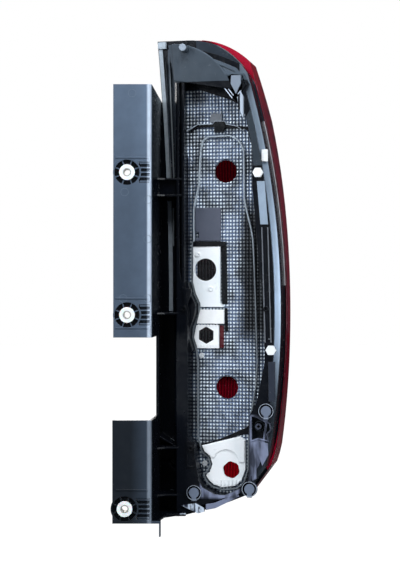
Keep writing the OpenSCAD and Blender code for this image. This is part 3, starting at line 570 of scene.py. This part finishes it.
def gloss_red(name, bright, deep):
    """Polished red plastic of the lens lip, bright at its corners and deep along the side."""
    f = Finish(name)
    cloud = f.spread(f.pattern("haze"), 0.35, 0.65, 0.82, 1.0)
    f.set(Base_Color=f.scaled(f.mixed(f.ends((55, 125), (-250, -300)), deep, bright), cloud))
    f.roughen("polish", 0.10, 0.18)
    f.set(Normal=f.bump("ripple", 0.8 * MM, 0.15, edge=0.6 * MM))
    f.set(Coat_Weight=0.3, Coat_Roughness=0.05)
    return f.material


def pillow_film(name, bright, smoke_and_groove_shade, across, up):
    """Metal film over the pillows: a painted highlight spot on each, and painted shade in the grooves
    between them.
    """
    f = Finish(name)
    # A painted highlight spot grows from nothing to full between two distances from the groove beside it and
    # below it
    spot_beside = f.rise(f.math("PINGPONG", f.x, across / 2), 0.30, 1.30)
    spot_below = f.rise(f.math("PINGPONG", f.z, up / 2), 0.45, 1.45)
    spot = f.both(spot_beside, spot_below)
    # Painted shade in the grooves, and the painted highlight of each spot
    groove = f.clouded("pillow cloud", (0.40, 0.62), times(smoke_and_groove_shade, 2.5), times(smoke_and_groove_shade, 14))
    dot = f.clouded("pillow glitter", (0.36, 0.58), times(bright, 0.45), bright)
    # The spots are faint in the shade of the right wall
    shade = f.both(f.rise(f.x, 88, 99), f.between(f.z, -180, -30, 12))
    faint = f.math("MULTIPLY", spot, 0.10)
    dim = f.mixed(faint, times(smoke_and_groove_shade, 0.3), dot)
    f.set(Base_Color=f.mixed(shade, f.mixed(spot, groove, dot), dim), Metallic=0.55)
    f.roughen("film sheen", 0.28, 0.42)
    f.set(Normal=f.bump("film grain", 0.03 * MM, 0.4))
    return f.material


def metal_film(name, bright, smoke_and_groove_shade, rough):
    """Metal film over plastic, with the soft smoky clouds that thin film shows."""
    f = Finish(name)
    f.set(Base_Color=f.clouded("film smoke", (0.36, 0.60), smoke_and_groove_shade, bright), Metallic=0.05)
    f.roughen("film sheen", rough * 0.8, rough * 1.35)
    f.set(Normal=f.bump("film grain", 0.03 * MM, 0.4, edge=0.4 * MM))
    return f.material


def rubber(name, tone, rough=0.62, painted_foot_shade=1.0):
    """Grey rubber, slightly dusty, with small pores, and painted shade that darkens it low down by the share
    given.
    """
    f = Finish(name)
    shade = f.rise(f.z, -110, -60, painted_foot_shade, 1.0)
    f.set(Base_Color=f.scaled(f.clouded("dust", MIDDLE, times(tone, 0.72), tone), shade))
    f.roughen("rubber sheen", rough - 0.06, rough + 0.1)
    f.set(Normal=f.bump("pores", 0.1 * MM, 0.5, edge=0.4 * MM))
    return f.material


def smooth_plastic(name, tone, rough, glow=0.0):
    """Plain moulded plastic in a pale tone, with a little light passing under its skin."""
    f = Finish(name)
    f.set(Base_Color=f.clouded("pale cloud", MIDDLE, times(tone, 0.9), tone))
    f.roughen("pale sheen", rough - 0.04, rough + 0.06)
    f.set(Normal=f.bump("pale grain", 0.03 * MM, 0.4, edge=0.4 * MM))
    if glow:
        f.set(Subsurface_Weight=glow, Subsurface_Scale=2 * MM)
    return f.material


def speckled_metal(name, pale, dark):
    """Sintered metal of the sleeves, in pale and dark grains."""
    f = Finish(name)
    f.set(Base_Color=f.clouded("sintered", (0.42, 0.62), dark, pale), Metallic=0.55)
    f.roughen("sintered", 0.34, 0.56)
    f.set(Normal=f.bump("sintered", 0.06 * MM, 0.6, edge=0.3 * MM))
    return f.material


# Mesh helpers

def dress(node, material):
    """Gives a CAD node its finish."""
    mesh = NODES[node].data
    mesh.materials.clear()
    mesh.materials.append(material)


def finish_of(node):
    return NODES[node].data.materials[0]


def piece(name, bm, material, smooth=False):
    """Makes a mesh of the bmesh, puts it in the scene and lets it ride with the lamp."""
    mesh = bpy.data.meshes.new(name)
    bm.to_mesh(mesh)
    bm.free()
    mesh.materials.append(material)
    if smooth:
        mesh.polygons.foreach_set("use_smooth", [True] * len(mesh.polygons))
    made = bpy.data.objects.new(name, mesh)
    bpy.context.scene.collection.objects.link(made)
    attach(made, "root")


def pull(bm, faces, by):
    """Extrudes flat faces along y, into plates."""
    pulled = bmesh.ops.extrude_face_region(bm, geom=faces)
    verts = [g for g in pulled["geom"] if isinstance(g, bmesh.types.BMVert)]
    bmesh.ops.translate(bm, verts=verts, vec=(0, by, 0))


def slab(bm, outline, back, front):
    """Adds a flat plate with the outline in the lamp's own frame, between two depths, in millimetres."""
    verts = [bm.verts.new((x * MM, back * MM, z * MM)) for x, z in outline]
    pull(bm, [bm.faces.new(verts)], (front - back) * MM)


def ring(bm, centre, radius, line, segments):
    """Adds a thin flat ring that faces the fixing side."""
    at = Matrix.Translation(centre) @ FACING
    disc = bmesh.ops.create_circle(bm, cap_ends=True, radius=radius, segments=segments, matrix=at)
    face = disc["verts"][0].link_faces[0]
    bmesh.ops.inset_region(bm, faces=[face], thickness=line, use_boundary=True)
    bmesh.ops.delete(bm, geom=[face], context="FACES_ONLY")


def finish_slabs(name, bm, material, edge=0.2):
    """Rounds the edges of the plates a little, turns them to the lamp and adds the piece."""
    bmesh.ops.recalc_face_normals(bm, faces=bm.faces)
    bmesh.ops.bevel(bm, geom=bm.edges[:], offset=edge * MM, offset_type="OFFSET", segments=2, profile=0.5,
                    affect="EDGES", material=-1, clamp_overlap=True)
    bm.transform(LAMP_TO_ROW)
    bmesh.ops.recalc_face_normals(bm, faces=bm.faces)
    piece(name, bm, material)


# Operators

class LAMP_OT_housing(bpy.types.Operator):
    """Black moulded finish on the housing and the divider, and slate on the cover plate"""
    bl_idname = "lamp.housing"
    bl_label = "Housing"

    def execute(self, context):
        tones = context.scene.lamp_colours
        edge = context.scene.lamp_sizes.soft_edge
        dress("housing", housing_plastic("black plastic", tones, edge))
        dress("cover_plate", moulded("slate plastic", tones.cover_dark, tones.cover, 0.5, edge))
        dress("divider_strip", moulded("divider plastic", tones.divider_dark, tones.divider, 0.24, edge))
        return {"FINISHED"}


class LAMP_OT_lens(bpy.types.Operator):
    """Red and clear plastic of the lens, and the red strip in the slot"""
    bl_idname = "lamp.lens"
    bl_label = "Lens"

    def execute(self, context):
        tones = context.scene.lamp_colours
        dress("lens_red", lens_plastic("red lens", tones.red, rough=0.10, clear=0.45, side=tones.red_side))
        dress("lens_clear", lens_plastic("clear lens", tones.clear, rough=0.08, clear=0.92))
        dress("slot_strip", lens_plastic("red strip", tones.strip, rough=0.3, clear=0.2))
        return {"FINISHED"}


class LAMP_OT_reflectors(bpy.types.Operator):
    """Metal film on the reflectors, and the white blank panel"""
    bl_idname = "lamp.reflectors"
    bl_label = "Reflectors"

    def execute(self, context):
        tones, sizes = context.scene.lamp_colours, context.scene.lamp_sizes
        film = pillow_film("reflector film", tones.silver, tones.smoke_and_groove_shade, sizes.pillow_across, sizes.pillow_up)
        dress("main_reflector", film)
        bright = metal_film("bright film", tones.film, tones.film_smoke, rough=0.34)
        for node in ("mid_reflector", "hex_reflector", "low_reflector"):
            dress(node, bright)
        dress("white_panel", smooth_plastic("white panel", tones.panel, rough=0.35))
        return {"FINISHED"}


class LAMP_OT_pillows(bpy.types.Operator):
    """The field of small pillows over the main reflector"""
    bl_idname = "lamp.pillows"
    bl_label = "Pillow pattern"

    # Reach of the pattern in the lamp's own frame, in pitches from its corner
    first_column, last_column = 5, 33
    first_row, last_row = -91, 27
    # Depths in the lamp's own frame: the plain sheet, and the ridges that the pillows cover
    sheet_at = SHEET_AT * MM
    ridge_at = -12.8 * MM
    # Thickness of the skin, and how far it stands off the sheet
    skin = 0.25 * MM
    clear = 0.1 * MM
    # Rays that look for the sheet start at this depth, run this far, and may stop this far beyond its face
    ray_from = -30 * MM
    ray_length = 30 * MM
    beyond = 0.02 * MM

    def execute(self, context):
        sizes = context.scene.lamp_sizes
        across, up, steps = sizes.pillow_across, sizes.pillow_up, sizes.pillow_steps
        columns = self.last_column - self.first_column
        rows = self.last_row - self.first_row
        bm = bmesh.new()
        bmesh.ops.create_grid(bm, x_segments=columns * steps, y_segments=rows * steps, size=0.5)
        bmesh.ops.scale(bm, verts=bm.verts, vec=(columns * across, rows * up, 1))
        middle = Vector(((self.first_column + columns / 2) * across, (self.first_row + rows / 2) * up, 0))
        bmesh.ops.translate(bm, verts=bm.verts, vec=middle)
        self.raise_pillows(bm, across, up, sizes.pillow_rise)
        self.keep_over_sheet(bm)
        bmesh.ops.recalc_face_normals(bm, faces=bm.faces)
        bmesh.ops.solidify(bm, geom=bm.faces[:], thickness=self.skin)
        bm.transform(LAMP_TO_ROW)
        bmesh.ops.recalc_face_normals(bm, faces=bm.faces)
        piece("reflector_pillows", bm, finish_of("main_reflector"), smooth=True)
        return {"FINISHED"}

    def raise_pillows(self, bm, across, up, rise):
        """Stands the flat grid up in the lamp's frame, with a dome over each cell."""
        for vert in bm.verts:
            u = 2 * ((vert.co.x / across) % 1) - 1
            v = 2 * ((vert.co.y / up) % 1) - 1
            dome = (1 - u * u) * (1 - v * v)
            ridge = 1 - abs(u)
            height = (self.sheet_at - self.ridge_at) * ridge + self.clear + rise * dome
            vert.co = Vector((vert.co.x, self.sheet_at - height, vert.co.y))

    def keep_over_sheet(self, bm):
        """Deletes the faces that don't lie wholly over the reflector's sheet."""
        mesh = NODES["main_reflector"].data
        tree = BVHTree.FromPolygons([v.co for v in mesh.vertices], [list(p.vertices) for p in mesh.polygons])
        ahead = LAMP_TO_ROW.to_3x3() @ Vector((0, 1, 0))

        def over_sheet(spot):
            start = LAMP_TO_ROW @ Vector((spot.x, self.ray_from, spot.z))
            hit = tree.ray_cast(start, ahead, self.ray_length)[0]
            return hit is not None and (ROW_TO_LAMP @ hit).y < self.sheet_at + self.beyond

        bare = []
        for face in bm.faces:
            spots = [v.co for v in face.verts] + [face.calc_center_median()]
            if not all(over_sheet(spot) for spot in spots):
                bare.append(face)
        bmesh.ops.delete(bm, geom=bare, context="FACES")


class LAMP_OT_lip(bpy.types.Operator):
    """Red lip of the lens that laps over the edge of the rim"""
    bl_idname = "lamp.lip"
    bl_label = "Lens lip"

    outer_arcs = [arc.set_in(LIP_GAP) for arc in (CORNER_ARC, SIDE_ARC, LOW_ARC, FOOT_ARC)]
    inner_arcs = [
        LIP_CORNER_ARC, SIDE_ARC.set_in(LIP_SIDE), LOW_ARC.set_in(LIP_LOW), FOOT_ARC.set_in(LIP_FOOT)]
    # The lip is set out by so many rays from a point in the lamp, between two angles
    pivot = Vector((30, -120))
    first_angle, last_angle = radians(86.5), radians(-66)
    rays = 180
    least_width = 0.4
    back, front = -3.9 * MM, -0.1 * MM

    def execute(self, context):
        bm = bmesh.new()
        bmesh.ops.create_grid(bm, x_segments=self.rays, y_segments=2, size=0.5)
        for vert in bm.verts:
            along, across = vert.co.x + 0.5, vert.co.y + 0.5
            angle = self.first_angle + along * (self.last_angle - self.first_angle)
            ray = Vector((cos(angle), sin(angle)))
            outer = self.reach(ray, self.outer_arcs)
            inner = min(self.reach(ray, self.inner_arcs), outer - self.least_width)
            spot = self.pivot + ray * (inner + across * (outer - inner))
            vert.co = Vector((spot.x * MM, self.back, spot.y * MM))
        pull(bm, bm.faces[:], self.front - self.back)
        bm.transform(LAMP_TO_ROW)
        bmesh.ops.recalc_face_normals(bm, faces=bm.faces)
        tones = context.scene.lamp_colours
        piece("lens_lip", bm, gloss_red("lip red", tones.lip, tones.lip_side))
        return {"FINISHED"}

    def reach(self, ray, arcs):
        """How far a ray from the pivot runs before it leaves the nearest of the arcs."""
        ends = []
        for arc in arcs:
            offset = self.pivot - Vector((arc.x, arc.z))
            along = offset.dot(ray)
            room = along * along - offset.length_squared + arc.radius * arc.radius
            if room > 0:
                end = room ** 0.5 - along
                if arc.lowest < (self.pivot + ray * end).y < arc.highest:
                    ends.append(end)
        return min(ends)


class LAMP_OT_top_plate(bpy.types.Operator):
    """The plain face above the well, with its round right edge, in the housing's finish with its painted
    slate sheen
    """
    bl_idname = "lamp.top_plate"
    bl_label = "Top plate"

    # The disc is cut along these two lines, and what lies left of the one and below the other is dropped
    left_edge = ((20.6, 142.5), (22.9, 105.5))
    low_edge = ((22.3, 105.5), (78.9, 95.3))
    back, front = -37.4, -36.7
    # How near to a line a corner counts as on it, in metres
    weld = 1e-7

    def execute(self, context):
        x, z = TOP_CENTRE
        bm = bmesh.new()
        at = Matrix.Translation(Vector((x, self.back, z)) * MM) @ FACING
        bmesh.ops.create_circle(bm, cap_ends=True, radius=TOP_RADIUS * MM, segments=160, matrix=at)
        self.cut(bm, self.left_edge)
        self.cut(bm, self.low_edge)
        pull(bm, bm.faces[:], (self.front - self.back) * MM)
        finish_slabs("top_face", bm, finish_of("housing"), edge=0.25)
        return {"FINISHED"}

    def cut(self, bm, edge):
        (x0, z0), (x1, z1) = edge
        kept_side = Vector((z0 - z1, 0, x1 - x0))
        geom = bm.verts[:] + bm.edges[:] + bm.faces[:]
        bmesh.ops.bisect_plane(bm, geom=geom, plane_co=Vector((x0, 0, z0)) * MM, plane_no=kept_side,
                               clear_inner=True, dist=self.weld)


class LAMP_OT_dark_forms(bpy.types.Operator):
    """Black walls, clip and wedge round the panels, black slabs standing for the shade beside the panel and
    the slot and under the cover plate, and a smooth grey patch on the pillows
    """
    bl_idname = "lamp.dark_forms"
    bl_label = "Dark forms"

    # Outlines in the lamp's own frame, and the depth that each one stands up to
    wedge = (
        (42.4, -298.6), (72.0, -289.5), (99.1, -277.2), (106.4, -270.9), (107.0, -283.6), (95.8, -285.0),
        (43.5, -302.5))
    # Black slabs that stand for the shade beside the white panel, under the cover plate and beside the slot,
    # and the divider's clip
    shade_beside_panel = ((70.9, -76.4), (77.1, -76.5), (78.3, -140.8), (72.6, -140.8))
    shadow_under_cover = ((40.0, -71.3), (76.4, -71.6), (76.4, -76.6), (40.0, -76.9))
    divider_clip = ((64.1, 61.8), (75.2, 61.5), (76.2, 54.9), (73.4, 49.8), (63.4, 50.0))
    shade_beside_slot = ((74.9, -145.2), (78.3, -145.2), (78.8, -170.7), (75.4, -170.7))
    walls = ((wedge, -14.8), (shade_beside_panel, -14.8), (shadow_under_cover, -19.0), (divider_clip, -17.2),
             (shade_beside_slot, -14.8))
    patch = ((59.5, 71.0), (72.0, 70.6), (71.5, 60.6), (57.8, 61.0))
    patch_front = -14.4

    def execute(self, context):
        bm = bmesh.new()
        for outline, front in self.walls:
            slab(bm, outline, FORM_FOOT, front)
        finish_slabs("dark_walls_and_shade_slabs", bm, finish_of("divider_strip"))
        bm = bmesh.new()
        slab(bm, self.patch, FORM_FOOT, self.patch_front)
        grey = smooth_plastic("patch grey", context.scene.lamp_colours.patch, rough=0.4)
        finish_slabs("smooth_patch", bm, grey)
        return {"FINISHED"}


class LAMP_OT_fine_lines(bpy.types.Operator):
    """Thin raised lines in a pale tone that paints the highlight they catch: round the pins and along the
    divider
    """
    bl_idname = "lamp.fine_lines"
    bl_label = "Fine lines"

    # Middles of the pin heads, and the radius, width, depth and height of the line round each
    pin_middles = ((125.8, -256.4), (45.7, -347.5), (107.5, -341.5))
    ring_radius, ring_line, ring_at, ring_height = 8.2, 0.5, -39.4, 0.6
    # Upper edge of the line along the divider, and how wide and how far out it is
    divider_line = ((33.4, 52.9), (44.8, 59.0), (62.0, 59.4), (64.0, 62.2), (75.6, 62.0), (77.0, 58.8),
                    (89.0, 56.4), (97.4, 50.2))
    divider_width, divider_front = 0.7, -16.6

    def execute(self, context):
        bm = bmesh.new()
        for x, z in self.pin_middles:
            middle = Vector((x, self.ring_at, z)) * MM
            ring(bm, middle, self.ring_radius * MM, self.ring_line * MM, segments=48)
        pull(bm, bm.faces[:], self.ring_height * MM)
        lower = [(x, z - self.divider_width) for x, z in reversed(self.divider_line)]
        slab(bm, [*self.divider_line, *lower], FORM_FOOT, self.divider_front)
        bm.transform(LAMP_TO_ROW)
        bmesh.ops.recalc_face_normals(bm, faces=bm.faces)
        # The lines' pale grey is a painted highlight over black plastic
        pale = smooth_plastic("line highlight grey", context.scene.lamp_colours.lines, rough=0.35)
        piece("fine_lines", bm, pale)
        return {"FINISHED"}


class LAMP_OT_seals(bpy.types.Operator):
    """Grey rubber of the rim seal and the gasket"""
    bl_idname = "lamp.seals"
    bl_label = "Seals"

    def execute(self, context):
        tone = context.scene.lamp_colours.seal
        dress("rim_seal", rubber("rim rubber", tone))
        dress("carrier_gasket", rubber("gasket rubber", tone, painted_foot_shade=0.42))
        return {"FINISHED"}


class LAMP_OT_fittings(bpy.types.Operator):
    """Bushes, sleeves, screw heads, locating pins, stud, foam pad and small screws"""
    bl_idname = "lamp.fittings"
    bl_label = "Fittings"

    def execute(self, context):
        tones = context.scene.lamp_colours
        white = smooth_plastic("bush white", tones.white, rough=0.42, glow=0.15)
        sleeve = speckled_metal("sleeve metal", tones.sleeve, tones.sleeve_dark)
        head = smooth_plastic("head white", tones.heads, rough=0.3)
        pin = smooth_plastic("pin grey", tones.grey, rough=0.45)
        for place in ("upper", "middle", "lower"):
            dress("bush_" + place, white)
            dress("sleeve_" + place, sleeve)
        for place in ("upper", "lower"):
            dress("head_" + place, head)
        for place in ("right", "left", "low"):
            dress("pin_" + place, pin)
        # The top pin takes a paler, painted lit copy of the pins' grey
        dress("pin_top", smooth_plastic("lit tongue grey", tones.lit_tongue, rough=0.4))
        dress("stud_top", smooth_plastic("stud grey", tones.stud, rough=0.35))
        dress("foam_pad", rubber("foam", tones.foam, rough=0.9))
        dress("panel_screws", speckled_metal("screw metal", tones.screw, tones.screw_dark))
        return {"FINISHED"}


class LAMP_OT_marks(bpy.types.Operator):
    """Faint round ejector marks on the fixing plates"""
    bl_idname = "lamp.marks"
    bl_label = "Ejector marks"

    # Middles of the marks, the depth of the plates' face and how far the marks stand out, in millimetres
    spots = ((-2.5, -21), (22.5, -29), (22, -71), (-4, -134), (22, -134), (5.5, 84))
    plate_face, height = 0.8, 0.12

    def execute(self, context):
        sizes = context.scene.lamp_sizes
        bm = bmesh.new()
        for x, z in self.spots:
            middle = Vector((x, self.plate_face, z)) * MM
            ring(bm, middle, sizes.mark_radius, sizes.mark_line, segments=40)
        bmesh.ops.recalc_face_normals(bm, faces=bm.faces)
        pull(bm, bm.faces[:], -self.height * MM)
        bmesh.ops.recalc_face_normals(bm, faces=bm.faces)
        # The marks are paler than the plates' painted sheen: a painted highlight where their raised line
        # catches the light
        mark_sheen = smooth_plastic("mark sheen slate", context.scene.lamp_colours.marks, rough=0.4)
        piece("ejector_marks", bm, mark_sheen)
        return {"FINISHED"}


class LAMP_OT_stage(bpy.types.Operator):
    """Camera, pale floor, white surround and soft lights"""
    bl_idname = "lamp.stage"
    bl_label = "Stage"

    # Name, place, point looked at, width, height, brightness and colour of each light
    lights = (
        ("front soft light", (0.10, -2.3, 0.10), (0.08, 0, -0.12), 2.2, 2.2, 0.14, (0.84, 0.92, 1.0)),
        ("left soft light", (-1.35, -1.35, 0.2), (0.05, 0, -0.12), 0.7, 1.6, 7.5, (0.88, 0.94, 1.0)),
        ("right soft light", (1.5, -1.2, 0.2), (0.1, 0, -0.12), 0.7, 1.6, 6.5, (0.89, 0.945, 1.0)),
        ("top soft light", (0.10, -1.15, 1.35), (0.08, 0, -0.1), 1.7, 0.8, 7.5, (0.91, 0.955, 1.0)),
        ("back soft light", (-0.5, 1.7, 0.7), (0.08, 0.1, -0.1), 1.2, 1.2, 5.0, (1.0, 0.98, 0.96)),
        ("back right light", (1.6, 0.7, 0.2), (0.1, 0.1, -0.1), 0.5, 1.4, 4.0, (1.0, 1.0, 1.0)),
        ("upper lens light", (0.12, 0.80, 0.07), (0.12, 0.1, 0.02), 0.40, 0.20, 0.45, (1.0, 0.96, 0.94)),
        ("lower lens light", (0.13, 0.80, -0.37), (0.12, 0.1, -0.25), 0.40, 0.18, 1.3, (1.0, 0.96, 0.94)),
    )
    # Long side of the camera's film in millimetres, and half the side of the floor in metres
    film_side = 36
    floor_half = 6
    floor_shade = (0.05, 0.055, 0.06, 1)
    white = (1, 1, 1, 1)
    # The surround looks white to the camera, and lights the lamp only a little
    surround_glow, surround_tint = 0.05, (0.55, 0.66, 0.85, 1)

    def execute(self, context):
        settings = context.scene.lamp_stage
        self.make_camera(context, settings)
        self.make_floor(settings)
        for entry in self.lights:
            self.make_light(*entry)
        self.make_world(context, settings)
        return {"FINISHED"}

    def make_camera(self, context, settings):
        data = bpy.data.cameras.new("camera")
        data.sensor_fit = "AUTO"
        data.sensor_width = self.film_side
        data.lens = settings.lens
        camera = bpy.data.objects.new("camera", data)
        camera.location = settings.camera_at
        camera.rotation_euler = (pi / 2, 0, 0)
        context.scene.collection.objects.link(camera)
        context.scene.camera = camera

    def make_floor(self, settings):
        bm = bmesh.new()
        bmesh.ops.create_grid(bm, x_segments=1, y_segments=1, size=self.floor_half)
        bmesh.ops.translate(bm, verts=bm.verts, vec=(0, 0, -settings.floor_at))
        mesh = bpy.data.meshes.new("floor")
        bm.to_mesh(mesh)
        bm.free()
        f = Finish("pale floor")
        seen = f.node("ShaderNodeLightPath").outputs["Is Camera Ray"]
        f.set(Base_Color=self.floor_shade, Roughness=0.9, Specular_IOR_Level=0.0)
        f.set(Emission_Color=self.white, Emission_Strength=seen)
        mesh.materials.append(f.material)
        floor = bpy.data.objects.new("floor", mesh)
        bpy.context.scene.collection.objects.link(floor)

    def make_light(self, name, place, target, width, height, bright, tint):
        data = bpy.data.lights.new(name, "AREA")
        data.shape = "RECTANGLE"
        data.size = width
        data.size_y = height
        data.energy = bright * pi * width * height
        data.color = tint
        light = bpy.data.objects.new(name, data)
        light.location = place
        light.rotation_euler = (Vector(target) - Vector(place)).to_track_quat("-Z", "Y").to_euler()
        light.visible_camera = False
        bpy.context.scene.collection.objects.link(light)

    def make_world(self, context, settings):
        world = bpy.data.worlds.new("surround")
        world.use_nodes = True
        nodes, links = world.node_tree.nodes, world.node_tree.links
        seen = nodes["Background"]
        seen.inputs["Color"].default_value = self.white
        seen.inputs["Strength"].default_value = 1.0
        if settings.white_world:
            dim = nodes.new("ShaderNodeBackground")
            dim.inputs["Color"].default_value = self.surround_tint
            dim.inputs["Strength"].default_value = self.surround_glow
            path = nodes.new("ShaderNodeLightPath")
            mix = nodes.new("ShaderNodeMixShader")
            links.new(path.outputs["Is Camera Ray"], mix.inputs["Fac"])
            links.new(dim.outputs["Background"], mix.inputs[1])
            links.new(seen.outputs["Background"], mix.inputs[2])
            links.new(mix.outputs["Shader"], nodes["World Output"].inputs["Surface"])
        context.scene.world = world
        context.scene.view_settings.view_transform = "Standard"


class LAMP_PT_panel(bpy.types.Panel):
    """Lists the steps that dress the lamp"""
    bl_idname = "LAMP_PT_panel"
    bl_label = "Rear Lamp"
    bl_space_type = "VIEW_3D"
    bl_region_type = "UI"
    bl_category = "Rear Lamp"

    def draw(self, context):
        for step in STEPS:
            self.layout.operator(step.bl_idname)
        for group in (context.scene.lamp_colours, context.scene.lamp_sizes, context.scene.lamp_stage):
            box = self.layout.box()
            for name in group.__annotations__:
                box.prop(group, name)


STEPS = (
    LAMP_OT_stage,
    LAMP_OT_housing,
    LAMP_OT_lens,
    LAMP_OT_reflectors,
    LAMP_OT_pillows,
    LAMP_OT_lip,
    LAMP_OT_top_plate,
    LAMP_OT_dark_forms,
    LAMP_OT_fine_lines,
    LAMP_OT_seals,
    LAMP_OT_fittings,
    LAMP_OT_marks,
)
GROUPS = {"lamp_colours": LampColours, "lamp_sizes": LampSizes, "lamp_stage": StageSettings}


def register():
    for group in GROUPS.values():
        bpy.utils.register_class(group)
    for name, group in GROUPS.items():
        setattr(bpy.types.Scene, name, PointerProperty(type=group))
    for step in STEPS:
        bpy.utils.register_class(step)
    bpy.utils.register_class(LAMP_PT_panel)


def unregister():
    bpy.utils.unregister_class(LAMP_PT_panel)
    for step in reversed(STEPS):
        bpy.utils.unregister_class(step)
    for name, group in GROUPS.items():
        delattr(bpy.types.Scene, name)
        bpy.utils.unregister_class(group)


def main():
    register()
    for step in STEPS:
        group, name = step.bl_idname.split(".")
        getattr(getattr(bpy.ops, group), name)()


if __name__ == "__main__":
    main()
